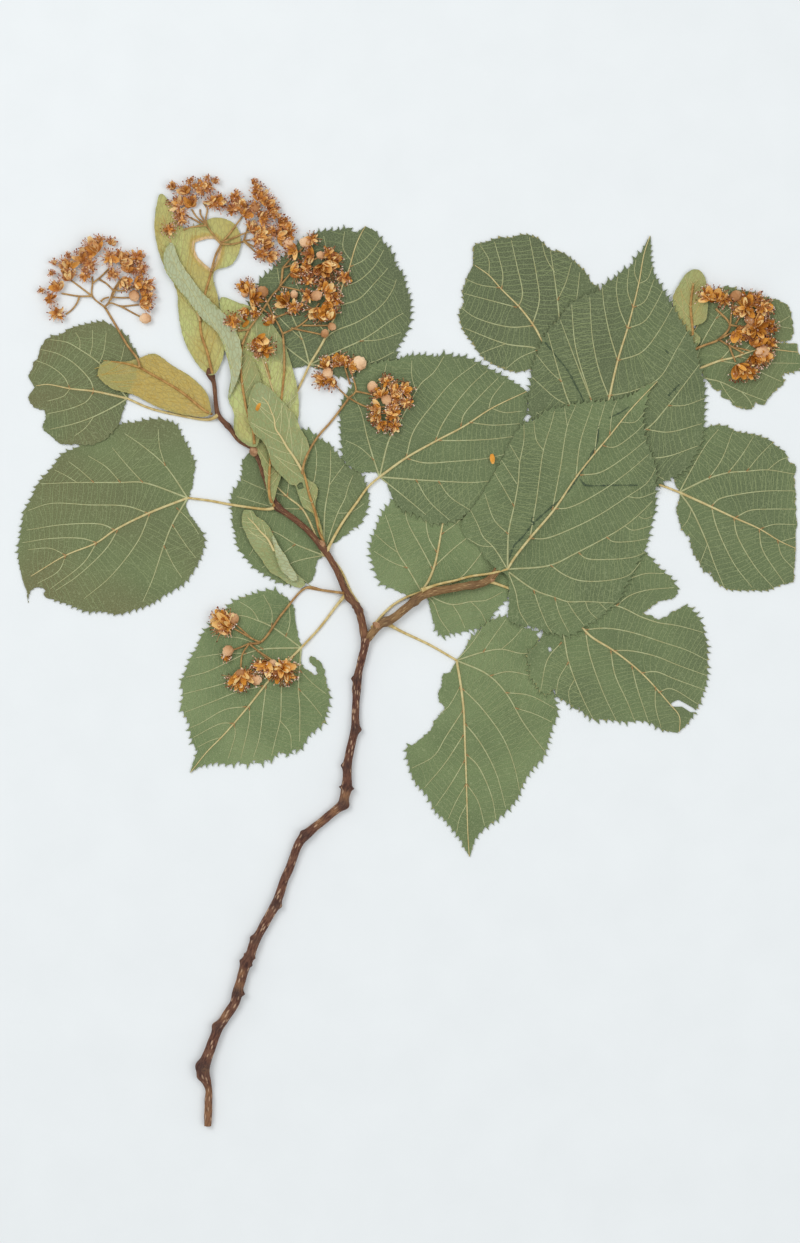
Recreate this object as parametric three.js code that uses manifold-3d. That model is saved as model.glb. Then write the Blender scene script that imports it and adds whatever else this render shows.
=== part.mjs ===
// A cut, pressed branch of a linden in flower, lying flat: a stem that forks into a leader
// and a side shoot, fourteen heart-shaped leaves seen from below, and seven flower stalks,
// each fused along half its length to a strap-shaped bract.
// Millimetres. +Z is up, +Y runs from the cut end towards the tip, and Z = 0 is the surface
// that the branch lies on. Plan positions are [x, y]; a third number is a height.
import * as THREE from "three";
import { mergeVertices } from "three/addons/utils/BufferGeometryUtils.js";
import Module from "manifold-3d";

const wasm = await Module();
wasm.setup();

// ---- Driving dimensions ----

const CLEAR = 0.3; // air between one piece and the next
const LEAF_THICK = 0.8;
const BRACT_THICK = 0.7;
const RIB_STANDS = 0.36; // a midrib's height above its blade
const PETIOLE_R = [0.65, 0.55, 0.3]; // at the stem, at the blade, at the midrib's end
const BRACT_RIB_R = [0.6, 0.45];
const RIB_SHARE = 0.84; // of the way from the leaf's base to its tip
const TOOTH_PITCH = 9;
const TOOTH_DEPTH = 1.1;
const TOOTH_LEAN = 0.65; // where the point of a tooth lies between its two notches
const TOOTHLESS = 7; // margin this near the leaf's base or tip has no teeth
const PETIOLE_ROOT = 7; // how far a petiole with no midrib is sunk in its blade
const HEART = 28; // from the base along the midrib, to where the whole margin is in view
const BRACT_STEP = 6; // spacing of the vertices round a bract
const PEDUNCLE_R = 0.5;
const PEDICEL_R = 0.38;
const FLOWER_THICK = 2.2;
const FLOWER_NOTCH = 0.62; // radius between two petals over radius at a petal's tip
const BUD_STRETCH = 1.15;
const PETALS = 5;

const STEM_SIDES = 8;
const STALK_SIDES = 5;
const PEDICEL_SIDES = 3;
const STEP = 7; // spacing of the rings along a limb
const RIB_STEPS = 5; // stations along a midrib
const MARGIN_SAMPLES = 400; // for even spacing round a margin
const WELD = 1e-4; // vertices this close are one
const STALK_STEP = 5.5; // spacing of the spots where a flower stalk rests on the pile
const MAP_CELL = 1; // cell of the height map that pieces are piled on
const MAP_HALF = 200;
const PUNCH_REACH = 20;

// Two leaves lie over the hidden end of the side shoot and rise over it in a soft ridge.
const RIDGE = [[28, 25.5], [36, 36], [44.5, 44], [53, 52.5], [61, 60], [64, 67], [67, 74.5]];
const RIDGE_WIDTH = 16;

// The limbs: [x, y, height of the axis, radius] from the thick end to the thin one.
const LIMBS = {
  main_stem: [
    [-72, -169, 1.75, 1.6], [-72, -156.5, 1.75, 1.75], [-73.5, -150.5, 1.9, 1.9],
    [-73, -145, 1.9, 1.9], [-70, -138, 2.2, 2.2], [-65, -127.5, 2.2, 2.2],
    [-60.5, -119, 2.2, 2.2], [-57.5, -109, 2.2, 2.2], [-50.5, -95, 1.9, 1.9],
    [-46, -88, 1.9, 1.9], [-41.5, -74, 1.8, 1.8], [-38, -65, 1.9, 1.9],
    [-31, -59.5, 2.1, 2.1], [-23, -54.5, 2.1, 2.1], [-22, -48, 1.9, 1.9],
    [-22.5, -40.5, 1.8, 1.8], [-19.5, -27.5, 1.7, 1.7], [-19, -13.5, 1.7, 1.7],
    [-16.5, 0.5, 1.9, 1.9], [-15, 5.5, 2.1, 2.1],
  ],
  leader: [
    [-15.5, 4.5, 2.2, 1.5], [-18, 15, 2.7, 1.5], [-22, 20.5, 2.55, 1.35],
    [-26, 29.5, 2.5, 1.25], [-29.5, 35.5, 2.6, 1.35], [-34, 41, 2.5, 1.2],
    [-38.5, 45.5, 2.5, 1.2], [-44.5, 50, 2.5, 1.25], [-47, 52, 2.55, 1.35],
    [-51.5, 62.5, 2.3, 1.1], [-55, 72, 2.3, 1.15], [-60.5, 75.5, 2.2, 1],
    [-64.5, 80.5, 1.9, 0.95], [-68, 84.5, 1.8, 1.05], [-69, 90, 1.6, 0.85],
    [-69.5, 95.5, 1.5, 0.9], [-70.5, 98.5, 1.6, 1],
  ],
  side_shoot: [
    [-14.5, 4.5, 2.2, 1.7], [-10, 10, 2.9, 1.7], [-6.5, 11.5, 3, 1.8], [0.5, 17, 3, 1.7],
    [5.5, 20.5, 3.15, 1.85], [17, 23, 2.9, 1.6], [28, 25.5, 2.9, 1.6],
    [36, 36, 2.65, 1.4], [44.5, 44, 2.4, 1.3], [53, 52.5, 2.3, 1.2], [61, 60, 2.2, 1.1],
    [64, 67, 2.1, 0.95], [67, 74.5, 2, 0.85],
  ],
};

// The leaves, in the order they are piled. "at" is where the petiole meets the blade, "lean"
// the direction of the midrib in degrees, "rest" the height of the blade's underside and
// "ridge" how far it rises over the hidden shoot. The margin is [along, across] from "at",
// across to the left of the midrib, and "tip" the point the midrib heads for.
const LEAVES = {
  leaf_3: {
    at: [-30.5, 34.5], lean: 110, rest: 0,
    petiole: [[-17, 14, 2.1], [-17.3, 17, 1.2], [-20, 21.5, 0.8], [-24.3, 30, 0.65],
      [-27.5, 34, 0.6]],
    margin: [[-1.5, 3], [-8, 9], [-4, 18], [1, 22.5], [6, 25.5], [12, 27.5], [19.5, 27],
      [29, 24.5], [35.5, 19.5], [43, 14.5], [46, 7], [47, -3], [44.5, -8.5], [39, -13.5],
      [30, -18], [22.5, -22.5], [15, -22.5], [9.5, -19.5], [5.5, -13.5], [2.5, -6.5]],
  },
  leaf_7: {
    at: [4.5, 21.5], lean: 75, rest: 0,
    petiole: [[-13, 9.5, 1.8], [-10.5, 12, 1.1], [-6, 15.5, 0.7], [-1, 19, 0.6]],
    margin: [[-2, 6.5], [-1, 14], [4, 19], [10, 21.5], [18, 21.5], [27.5, 19.5], [37, 16],
      [45, 8], [46, -1.5], [42.5, -12], [34.5, -20.5], [24.5, -26.5], [12.5, -29.5],
      [3.5, -28], [-4, -24], [-8, -17.5], [-10, -11.5], [-8, -7], [-3, -4]],
  },
  leaf_5: {
    at: [-35.5, 102.5], lean: 69, rest: 0, tip: [52, -1],
    petiole: [[-55, 72, 1.9], [-50.5, 78.5], [-44.5, 85.5], [-40, 93], [-38, 97]],
    margin: [[-2.5, 5.5], [-1, 15.5], [5, 23.5], [13.5, 27.5], [20.5, 27], [28.5, 24.5],
      [36.5, 21], [43.5, 15.5], [51, 5], [54, -2], [51, -8.5], [47, -14.5], [39.5, -22],
      [32.5, -26.5], [22.5, -28], [13, -28], [6, -23], [0.5, -13.5], [-0.5, -4.5]],
  },
  leaf_2: {
    at: [-79, 55], lean: 213, rest: 0, tip: [68.5, 0.5],
    petiole: [[-47, 52, 2.2], [-49, 51], [-56, 51.5], [-63, 52.5], [-71, 54]],
    margin: [[-5, -4.5], [-9, -9.5], [-10, -15.5], [-10.5, -24], [-4, -30.5], [5.5, -35],
      [21.5, -36], [29.5, -37.5], [38, -35], [47, -30], [54.5, -25], [61, -17.5], [65, -8],
      [68.5, 0.5], [62.5, 3], [56, 8.5], [48, 17.5], [38, 23], [25.5, 25], [18, 25],
      [10.5, 22], [4, 16.5], [2, 11]],
  },
  leaf_4: {
    at: [-38.5, 1.5], lean: 229, rest: 0, tip: [60, 0],
    petiole: [[-22.5, 21, 2.2], [-25.5, 17], [-32, 8.5]],
    margin: [[-4, -5], [-9, -11.5], [-10.5, -15.5], [-9.5, -20.5], [-4.5, -24.5],
      [6.5, -29.5], [16.5, -29.5], [24, -28.5], [32, -26], [40.5, -21.5], [46, -14],
      [51, -5], [60.5, 0], [54, 2], [45, 10.5], [38, 17], [30, 21.5], [24, 23],
      [15.5, 23.5], [8, 20], [3, 14.5], [0, 8.5], [0, 4]],
  },
  leaf_10: {
    at: [55.5, 101.5], lean: 131, rest: 0, tip: [48, -1],
    petiole: [[62.5, 68, 1.9], [62.5, 77], [62.5, 85.5], [60.5, 91]],
    margin: [[7, 10], [12.5, 16], [18, 18.5], [29, 19], [35, 18], [42, 12], [46.5, 7],
      [50, -0.5], [54, -4], [51.5, -10.5], [46.5, -19], [39.5, -23.5], [26.5, -27.5],
      [17, -27.5], [6.5, -24], [-0.5, -15], [-3, -5.5]],
  },
  leaf_11: {
    at: [102, 100.5], lean: 20, rest: 0, tip: [36, -1],
    petiole: [[68, 72, 1.9], [74, 79], [82.5, 88], [96.5, 95]],
    margin: [[-1, 5], [6, 15], [13, 21.5], [20, 24.5], [26.5, 21], [33.5, 16], [39, 10.5],
      [39, 4.5], [35.5, -1.5], [39, -9], [29, -12.5], [23, -18], [17.5, -19.5],
      [10.5, -18], [6, -12], [0, -5]],
  },
  leaf_12: {
    at: [96.5, 57], lean: -25, rest: 0, tip: [48, 0],
    petiole: [[61.5, 60, 1.9], [68, 59.5], [78, 60.5], [88, 60.5]],
    margin: [[-4.5, 4], [-4.5, 10], [-3.5, 17.5], [-1.5, 25], [5, 28.5], [21.5, 30.5],
      [29.5, 28.5], [35, 22], [39.5, 13.5], [44, 4], [47.5, -5], [50, -11.5], [43, -18],
      [33.5, -22.5], [24, -22.5], [15.5, -19], [7, -12], [1.5, -6.5]],
  },
  leaf_14: {
    at: [17, -3], lean: -86, rest: 0, tip: [70, 0],
    petiole: [[-7.5, 11.5, 2.2], [-3, 7.5], [7.5, 2.5]],
    margin: [[-2.5, 2], [-10, 10], [-12.5, 17], [-11.5, 22.5], [-7.5, 29], [3.5, 32.5],
      [16, 34.5], [24.5, 33.5], [35, 29.5], [45, 22], [54, 15], [60, 8], [71.5, -0.5],
      [64, -3], [55, -8.5], [46, -15], [35, -19.5], [29.5, -19], [24, -10.5],
      [17.5, -5.5], [12.5, -7], [4.5, -4]],
  },
  leaf_13: {
    at: [51, 18], lean: -43, rest: 1.4, tip: [65, -1],
    petiole: [[28, 25.5, 2.6], [35, 23], [43, 19.5]],
    margin: [[-1, 8.5], [4, 21], [13, 35], [22, 35], [31, 33.5], [41, 33], [49.5, 27.5],
      [55.5, 22], [61.5, 14], [65.5, 2], [66, -4], [60.5, -7], [52.5, -10], [45.5, -16],
      [39, -21], [29.5, -23], [21.5, -23], [16.5, -26], [11.5, -24], [6, -19],
      [4, -12.5], [0, -6.5]],
    bites: [[[104, 22], [97, 22], [95, 19.5], [89.5, 18], [83.5, 14], [86.5, 13],
      [89.5, 11.5], [94.5, 14], [99, 16.5], [104, 16.5]]],
  },
  leaf_1: {
    at: [-100.5, 90.5], lean: 172, rest: 1.4, tip: [35, -3],
    petiole: [[-68, 84.5, 1.6], [-71, 83.3], [-82, 84], [-92.5, 87]],
    margin: [[-2.5, -7], [-2, -15], [3, -21.5], [9, -25], [16, -25], [23.5, -21.5],
      [30, -18], [33.5, -12], [36, -3.5], [33, 1], [35, 5], [28.5, 9], [28.5, 14.5],
      [23, 18.5], [14.5, 19], [6, 16.5], [1.5, 9.5]],
  },
  leaf_6: {
    at: [-10.5, 62.5], lean: 31, rest: 1.4, tip: [60, -1],
    petiole: [[-29.5, 35.5, 2.4], [-27, 40.5], [-23.5, 46.5], [-18.5, 53.5], [-14.5, 59]],
    margin: [[-2.5, 3], [-6, 6.5], [-7.5, 11.5], [-4, 20], [1, 28.5], [8, 33], [13, 36.5],
      [20, 35.5], [29.5, 32.5], [39.5, 26.5], [48, 21.5], [53.5, 14], [60, -1],
      [57, -6.5], [49, -14], [37, -23.5], [26, -27.5], [16.5, -27.5], [7.5, -23.5],
      [2.5, -16], [0, -9.5]],
  },
  leaf_9: {
    at: [69, 74.5], lean: 73, rest: 2.6, ridge: 1.2, tip: [74, 5],
    petiole: [[65, 70.5, 2.6], [66.5, 72.3, 3.7]],
    margin: [[-3.5, 7], [-2, 16.5], [0.5, 25.5], [6.5, 29.5], [15, 31], [29.5, 31],
      [38, 27.5], [48.5, 21.5], [55, 15.5], [61.5, 10.5], [76.5, 5.5], [66.5, 1.5],
      [58.5, -5.5], [50.5, -13.5], [43.5, -21], [35, -26.5], [25, -31], [13, -33.5],
      [4.5, -32.5], [-3, -28.5], [-9.5, -21.5], [-9.5, -13.5], [-5, -5.5]],
  },
  leaf_8: {
    at: [35, 29.5], lean: 51, rest: 4.1, ridge: 1.4, tip: [84, 0],
    petiole: [[5.5, 20.5, 3.4], [10, 24.5, 4.6], [16, 26, 5.2], [22, 27, 5.4], [29, 28, 5.6]],
    margin: [[-2, 4], [-1, 12.5], [1.5, 21], [6, 24], [17.5, 24], [29.5, 26.5], [44.5, 28],
      [52.5, 25], [60.5, 19.5], [68.5, 11], [76.5, 4.5], [86.5, 1], [76, -2], [68.5, -7.5],
      [63.5, -16], [57.5, -22], [49, -28], [39, -32.5], [28.5, -35.5], [16, -37.5],
      [6, -36], [-3, -32.5], [-8.5, -24.5], [-12.5, -16], [-12.5, -10.5], [-5.5, -4.5]],
  },
};

// The bracts, in the order they are piled. "blades" are flat parts round a middle point
// "at", and "rib" runs from the node on the stem to where the flower stalk leaves it.
const BRACTS = {
  bract_7: {
    rest: 1.2,
    rib: [[67.5, 76.5, 1.9], [70, 84], [79, 93], [91.5, 101.5], [99, 107.5], [100.7, 112]],
    blades: [{
      at: [100.5, 123.5],
      margin: [[1, -15.5], [-2, -14], [-4.5, -7], [-7, 2.5], [-4, 8], [-1, 12], [2, 13],
        [5, 10], [6, 0], [4.5, -5.5], [3, -9], [3.5, -11.5]],
    }],
  },
  bract_6: {
    rest: 1.4,
    rib: [[-22.5, 21, 2.8], [-27, 21.5, 2.4], [-30.5, 22], [-35, 22.8]],
    blades: [{
      at: [-49, 35.5],
      margin: [[14, -13], [10, -13], [3.5, -11], [-2, -6.5], [-5.5, 0.5], [-9.5, 6.5],
        [-10.5, 12], [-9.5, 15], [-5.5, 13.5], [-0.5, 9.5], [4, 0.5], [8.5, -9]],
    }],
  },
  bract_2: {
    rest: 1.4,
    rib: [[-70.5, 98.5, 2], [-72, 107], [-74, 113], [-73.5, 124], [-71, 133]],
    blades: [{
      at: [-76, 129],
      margin: [[6, -30.5], [2, -28], [-3, -19.5], [-6, -10], [-7, 0], [-12, 9.5],
        [-14.5, 19.5], [-14.5, 27], [-12.5, 34.5], [-9, 30.5], [-7, 25], [-3.5, 22],
        [1, 23], [7, 25.5], [14, 23], [16, 17], [13, 9.5], [7, 6], [7.5, -3.5],
        [8, -18], [8, -26.5]],
    }],
    bites: [[[-76.5, 146], [-72, 147.5], [-67.5, 145.5], [-68.5, 141], [-70.5, 136.5],
      [-75.5, 141]]],
  },
  bract_4: {
    rest: 1.4,
    rib: [[-47, 53, 3], [-49, 58.5, 2.6], [-48.5, 72], [-46, 84.5], [-45.5, 88]],
    blades: [{
      at: [-51, 95.5],
      margin: [[2, -41], [0.5, -38], [-1, -29.5], [-4.5, -19.5], [-7, -7], [-8.5, 5.5],
        [-10, 18], [-15.5, 26], [-16, 31.5], [-9.5, 29.5], [-3, 27], [2, 23],
        [6.5, 14.5], [9.5, 5.5], [12, -3], [12, -12.5], [9.5, -23], [5.5, -32.5]],
    }],
  },
  bract_1: {
    rest: 2.8,
    rib: [[-69.5, 84.7, 2.9], [-74, 87], [-81.5, 93], [-94.5, 100.5]],
    blades: [{
      at: [-89.5, 95.5],
      margin: [[18.5, -10], [17.5, -3.5], [12, 2], [5.5, 6.5], [-1.5, 11], [-5.5, 9.5],
        [-12, 8], [-19.5, 8], [-21.5, 3.5], [-16.5, -1.5], [-9.5, -3.5], [-1.5, -7.5],
        [7, -10.5]],
    }],
  },
  bract_3: {
    rest: 2.9,
    rib: [[-55, 73.5, 3.2], [-55.5, 79], [-58, 87], [-59.5, 96], [-59.5, 108.5]],
    blades: [{
      at: [-66.5, 116],
      margin: [[2, -25.5], [3, -19], [1.5, -10.5], [-2, -2], [-7, 2.5], [-12.5, 9.5],
        [-17, 14.5], [-20.5, 20.5], [-20.5, 27.5], [-18, 30], [-15.5, 24], [-9.5, 14.5],
        [-4, 9], [2, 3], [5.5, -3], [7, -9], [7, -17.5]],
    }, {
      at: [-58.5, 90],
      margin: [[4, -15], [-0.5, -14.5], [-3, -12], [-4, -5], [-6, 1], [-4.5, 8.5],
        [-1, 17], [3, 14.5], [6, 5.5], [6.5, -5.5]],
    }],
  },
  bract_5: {
    rest: 4.3,
    rib: [[-29.5, 35.5, 4.6], [-31.5, 43, 4.6], [-33, 49.5], [-35.5, 55], [-37.3, 62.5]],
    blades: [{
      at: [-48, 79.5],
      margin: [[16, -38], [13.5, -30.5], [9.5, -26], [8, -20.5], [2, -15.5], [-2, -8.5],
        [-7, -1.5], [-9.5, 6.5], [-9, 12], [-4.5, 16.5], [0.5, 13], [6, 5.5],
        [10, -1.5], [12, -7.5], [11.5, -15.5], [15, -19.5], [15.5, -23], [15, -28.5]],
    }],
  },
};

// The flower clusters. "joints" are the forks of the stalk as [x, y, which joint it grows
// from], the first where the stalk leaves the bract; "blooms" are [x, y, radius, joint,
// degrees one petal points] and "buds" [x, y, radius, joint].
const CLUSTERS = {
  flowers_6: {
    joints: [[-36.5, 23.5, -1], [-45, 14, 0], [-53, 3.5, 1], [-57, 3, 2]],
    blooms: [[-66, 10.5, 4.5, 3, 140], [-60, -9, 4.5, 3, 240], [-50.5, -5.5, 3, 2, -90],
      [-44.5, -7, 4.5, 2, -20]],
    buds: [[-62.5, 12, 1.8, 3], [-64.5, 0.5, 2, 3], [-55, -10, 1.6, 2]],
  },
  flowers_7: {
    joints: [[102.5, 111, -1], [110.5, 111.5, 0], [114.5, 116.5, 1], [114, 110, 1]],
    blooms: [[106, 127.5, 3.5, 2, 110], [110, 128, 3.5, 2, 90], [114, 125.5, 3, 2, 80],
      [120.5, 125.5, 4.5, 2, 60], [122.5, 120.5, 5, 2, 30], [125.5, 114.5, 5, 2, 10],
      [118.5, 113.5, 3, 1, -10], [125.5, 107.5, 5, 3, 0], [119, 100.5, 4, 3, -60]],
    buds: [[116.5, 127, 2.1, 2]],
  },
  flowers_2: {
    joints: [[-70, 134.5, -1], [-67, 145, 0], [-71.5, 151, 1], [-74.5, 153.5, 2],
      [-59.5, 146, 1]],
    blooms: [[-82, 155.5, 3.5, 3, 200], [-85.5, 150.5, 3.5, 3, 190],
      [-79, 162.5, 5.5, 3, 115], [-73, 164.5, 5, 2, 80], [-69.5, 160.5, 4, 2, 50],
      [-58, 159.5, 5, 1, 110], [-53, 160.5, 5, 4, 80], [-49.5, 156.5, 4.5, 4, 50],
      [-53, 151.5, 4.5, 1, 20], [-47.5, 150.5, 5, 4, 30], [-43, 148, 3.5, 4, 10],
      [-50.5, 143, 4.5, 4, -40]],
    buds: [],
  },
  flowers_1: {
    joints: [[-96, 101.5, -1], [-104, 114, 0], [-108.5, 123, 1], [-113, 127, 2],
      [-117.5, 126.5, 3], [-113, 131.5, 3], [-107, 125, 2], [-105.5, 129, 6],
      [-103, 123.5, 6]],
    blooms: [[-126.5, 129, 4.5, 4, 175], [-125.5, 120.5, 4, 4, 190],
      [-122.5, 137, 4.5, 3, 140], [-116, 138.5, 5, 5, 110], [-113, 143.5, 4.5, 5, 80],
      [-105.5, 139, 4, 5, 100], [-101.5, 138.5, 5, 7, 80], [-97.5, 138.5, 4.5, 7, 50],
      [-94, 131.5, 3.5, 7, 10], [-93.5, 124, 4.5, 8, 10]],
    buds: [[-98.5, 127, 2.1, 6], [-94.5, 118.5, 2.5, 8]],
  },
  flowers_3: {
    joints: [[-59.5, 109.5, -1], [-54, 119, 0], [-46.5, 130, 1], [-45, 137.5, 2]],
    blooms: [[-42, 143, 4, 3, 60], [-35.5, 144, 4.5, 3, 50], [-29.5, 139, 4.5, 3, 40],
      [-38.5, 135.5, 4, 3, 10], [-30, 134.5, 5, 2, 10], [-34.5, 130.5, 4.5, 2, -10],
      [-27, 130.5, 4.5, 2, 0]],
    buds: [[-43, 146, 1.8, 3], [-32.5, 141.5, 2.1, 3]],
  },
  flowers_4: {
    joints: [[-45.5, 89, -1], [-44.5, 102.5, 0], [-45, 114, 1], [-48, 118.5, 2],
      [-51.5, 122, 3], [-39, 116.5, 2]],
    blooms: [[-59, 129, 3.5, 4, 140], [-54, 126.5, 2.5, 4, -60], [-44, 125.5, 3, 3, 150],
      [-39, 124, 3, 3, 60], [-32, 121, 3.5, 5, 20], [-63, 118, 3, 3, 170],
      [-52, 108, 4.5, 0, 80]],
    buds: [[-52, 130.5, 2.3, 3], [-27.5, 116.5, 1.8, 2], [-30, 113.5, 1.8, 2]],
  },
  flowers_5: {
    joints: [[-37.5, 63.5, -1], [-32.5, 75.5, 0], [-21.5, 90.5, 1], [-19.5, 93, 2],
      [-15.5, 88, 2]],
    blooms: [[-29.5, 100.5, 4.5, 2, 150], [-26, 104, 4.5, 3, 110], [-19.5, 102, 4.5, 3, 100],
      [-8, 96, 4.5, 3, 70], [-3, 93, 5, 3, 30], [-4.5, 87, 4.5, 4, 0],
      [-8.5, 82, 4.5, 4, -80], [-13.5, 84.5, 3.5, 4, 190]],
    buds: [[-13.5, 95, 2, 3], [-8.5, 90, 2.1, 3]],
  },
};

// ---- Materials ----

const finish = (color, roughness) =>
  new THREE.MeshStandardMaterial({ color, roughness, metalness: 0 });
const OLD_BARK = finish(0x5a4d43, 0.9);
const YOUNG_BARK = finish(0x71503c, 0.75);
const LEAF = finish(0x6e855f, 0.8);
const BRACT = finish(0xa79d5e, 0.7);
const FLOWER = finish(0xb08a3e, 0.8);

// ---- Solids ----

// A closed three.js geometry as a solid that can be joined and cut.
function solid(geometry) {
  geometry.deleteAttribute("normal");
  geometry.deleteAttribute("uv");
  const merged = mergeVertices(geometry, WELD);
  return new wasm.Manifold(new wasm.Mesh({
    numProp: 3,
    vertProperties: new Float32Array(merged.attributes.position.array),
    triVerts: new Uint32Array(merged.index.array),
  }));
}

function geometryOf(shape) {
  const { vertProperties, triVerts } = shape.getMesh();
  return new THREE.BufferGeometry()
    .setAttribute("position", new THREE.BufferAttribute(vertProperties, 3))
    .setIndex(new THREE.BufferAttribute(triVerts, 1));
}

const join = (solids) => solids.reduce((a, b) => a.add(b));

// A cut can leave a crumb: only the largest body stays.
function largestBody(shape) {
  const volume = (body) => body.volume();
  return shape.decompose().reduce((a, b) => (volume(b) > volume(a) ? b : a));
}

// Moves each vertex of a geometry to where the function puts it.
function mapped(geometry, place) {
  const position = geometry.getAttribute("position");
  const v = new THREE.Vector3();
  for (let i = 0; i < position.count; i++) {
    place(v.fromBufferAttribute(position, i));
    position.setXYZ(i, v.x, v.y, v.z);
  }
  return geometry;
}

// A tapering limb of round section through [x, y, z, radius], bent from a cylinder. "grow"
// adds to the radius and to both ends.
function limb(points, sides, grow = 0) {
  const axis = new THREE.CatmullRomCurve3(
    points.map(([x, y, z]) => new THREE.Vector3(x, y, z)), false, "centripetal");
  const steps = Math.max(points.length - 1, Math.round(axis.getLength() / STEP));
  const radiusAt = (u) => {
    const t = u * (points.length - 1);
    const i = Math.min(Math.floor(t), points.length - 2);
    return THREE.MathUtils.lerp(points[i][3], points[i + 1][3], t - i);
  };
  return solid(mapped(new THREE.CylinderGeometry(1, 1, 1, sides, steps), (v) => {
    const u = THREE.MathUtils.clamp(v.y + 0.5, 0, 1);
    const r = radiusAt(u) + grow;
    const ends = Math.trunc(2 * u - 1); // 1 and -1 on the two end faces
    const along = axis.getTangent(u);
    const side = new THREE.Vector3(along.y, -along.x, 0).normalize();
    const up = side.clone().cross(along);
    const centre = axis.getPoint(u).addScaledVector(along, ends * grow);
    const [across, high] = [v.x * r, v.z * r];
    v.copy(centre).addScaledVector(side, across).addScaledVector(up, high);
  }));
}

// ---- The pile: what is already there, to rest on and to keep clear of ----

const cells = Math.round((2 * MAP_HALF) / MAP_CELL);
const heights = new Float32Array(cells * cells);
const cellOf = (v) => Math.floor((v + MAP_HALF) / MAP_CELL);
const limbsPlaced = [];

// Raises the height map under each triangle of a geometry.
function pile(geometry) {
  const p = geometry.getAttribute("position");
  const index = geometry.index.array;
  const corner = [0, 1, 2].map(() => new THREE.Vector3());
  const spot = new THREE.Vector3();
  const weights = new THREE.Vector3();
  for (let i = 0; i < index.length; i += 3) {
    corner.forEach((c, k) => c.fromBufferAttribute(p, index[i + k]));
    const top = corner.map((c) => c.z);
    corner.forEach((c) => c.setZ(0));
    const [x0, x1] = [Math.min, Math.max].map((f) => cellOf(f(...corner.map((c) => c.x))));
    const [y0, y1] = [Math.min, Math.max].map((f) => cellOf(f(...corner.map((c) => c.y))));
    for (let a = x0; a <= x1; a++)
      for (let b = y0; b <= y1; b++) {
        spot.set((a + 0.5) * MAP_CELL - MAP_HALF, (b + 0.5) * MAP_CELL - MAP_HALF, 0);
        if (!THREE.Triangle.getBarycoord(spot, ...corner, weights)) continue;
        if (Math.min(weights.x, weights.y, weights.z) < 0) continue;
        const z = weights.x * top[0] + weights.y * top[1] + weights.z * top[2];
        heights[a * cells + b] = Math.max(heights[a * cells + b], z);
      }
  }
}

// The highest thing within "reach" of a plan position.
function pileTop(x, y, reach) {
  let top = 0;
  for (let a = cellOf(x - reach); a <= cellOf(x + reach); a++)
    for (let b = cellOf(y - reach); b <= cellOf(y + reach); b++)
      top = Math.max(top, heights[a * cells + b]);
  return top;
}

// The height of a stalk of radius r laid over the pile at (x, y).
const lieOn = (x, y, r) => {
  const top = pileTop(x, y, Math.max(r + CLEAR, STALK_STEP));
  return (top > 0 ? top + CLEAR : 0) + r;
};

function keptClear(shape) {
  return largestBody(limbsPlaced.reduce((rest, other) => rest.subtract(other), shape));
}

const specimen = new THREE.Group();

function place(name, shape, material) {
  const mesh = new THREE.Mesh(geometryOf(shape), material);
  mesh.name = name;
  pile(mesh.geometry);
  specimen.add(mesh);
}

// ---- Stems ----

for (const [name, points] of Object.entries(LIMBS)) {
  const stem = keptClear(limb(points, STEM_SIDES));
  limbsPlaced.push(limb(points, STEM_SIDES, CLEAR));
  place(name, stem, name === "main_stem" ? OLD_BARK : YOUNG_BARK);
}
heights.fill(0); // the lowest leaves lie under the stems, so the pile starts again

// ---- Blades ----

const cross = (a, b) => a[0] * b[1] - a[1] * b[0];

// The margin as a closed curve through plan points.
function marginCurve(points) {
  const curve = new THREE.CatmullRomCurve3(
    points.map(([x, y]) => new THREE.Vector3(x, y, 0)), true, "centripetal");
  curve.arcLengthDivisions = MARGIN_SAMPLES;
  return curve;
}

// Points round a toothed margin: a notch, then a tooth that leans on towards the next. The
// teeth fade out near each of the "plain" spots.
function toothed(points, plain) {
  const curve = marginCurve(points);
  const teeth = Math.round(curve.getLength() / TOOTH_PITCH);
  const turn = Math.sign(points.reduce(
    (sum, p, i) => sum + cross(p, points[(i + 1) % points.length]), 0));
  return Array.from({ length: 2 * teeth }, (_, k) => {
    const isTooth = k % 2;
    const u = (Math.floor(k / 2) + (isTooth ? TOOTH_LEAN : 0)) / teeth;
    const p = curve.getPointAt(u);
    const t = curve.getTangentAt(u);
    const far = Math.min(...plain.map(([x, y]) => Math.hypot(p.x - x, p.y - y)));
    const out = isTooth ? TOOTH_DEPTH * THREE.MathUtils.clamp(far / TOOTHLESS - 1, 0, 1) : 0;
    return [p.x + turn * t.y * out, p.y - turn * t.x * out];
  });
}

function smooth(points) {
  const curve = marginCurve(points);
  const count = Math.max(points.length, Math.round(curve.getLength() / BRACT_STEP));
  return curve.getSpacedPoints(count).slice(0, count).map((p) => [p.x, p.y]);
}

// How far the ridge over the hidden shoot reaches at (x, y), from 0 to 1.
function ridgeAt(x, y) {
  const spot = new THREE.Vector3(x, y, 0);
  const near = new THREE.Vector3();
  const distances = RIDGE.slice(1).map(([bx, by], i) => {
    const [ax, ay] = RIDGE[i];
    const part = new THREE.Line3(new THREE.Vector3(ax, ay, 0), new THREE.Vector3(bx, by, 0));
    return part.closestPointToPoint(spot, true, near).distanceTo(spot);
  });
  return Math.exp(-((Math.min(...distances) / RIDGE_WIDTH) ** 2));
}

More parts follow.
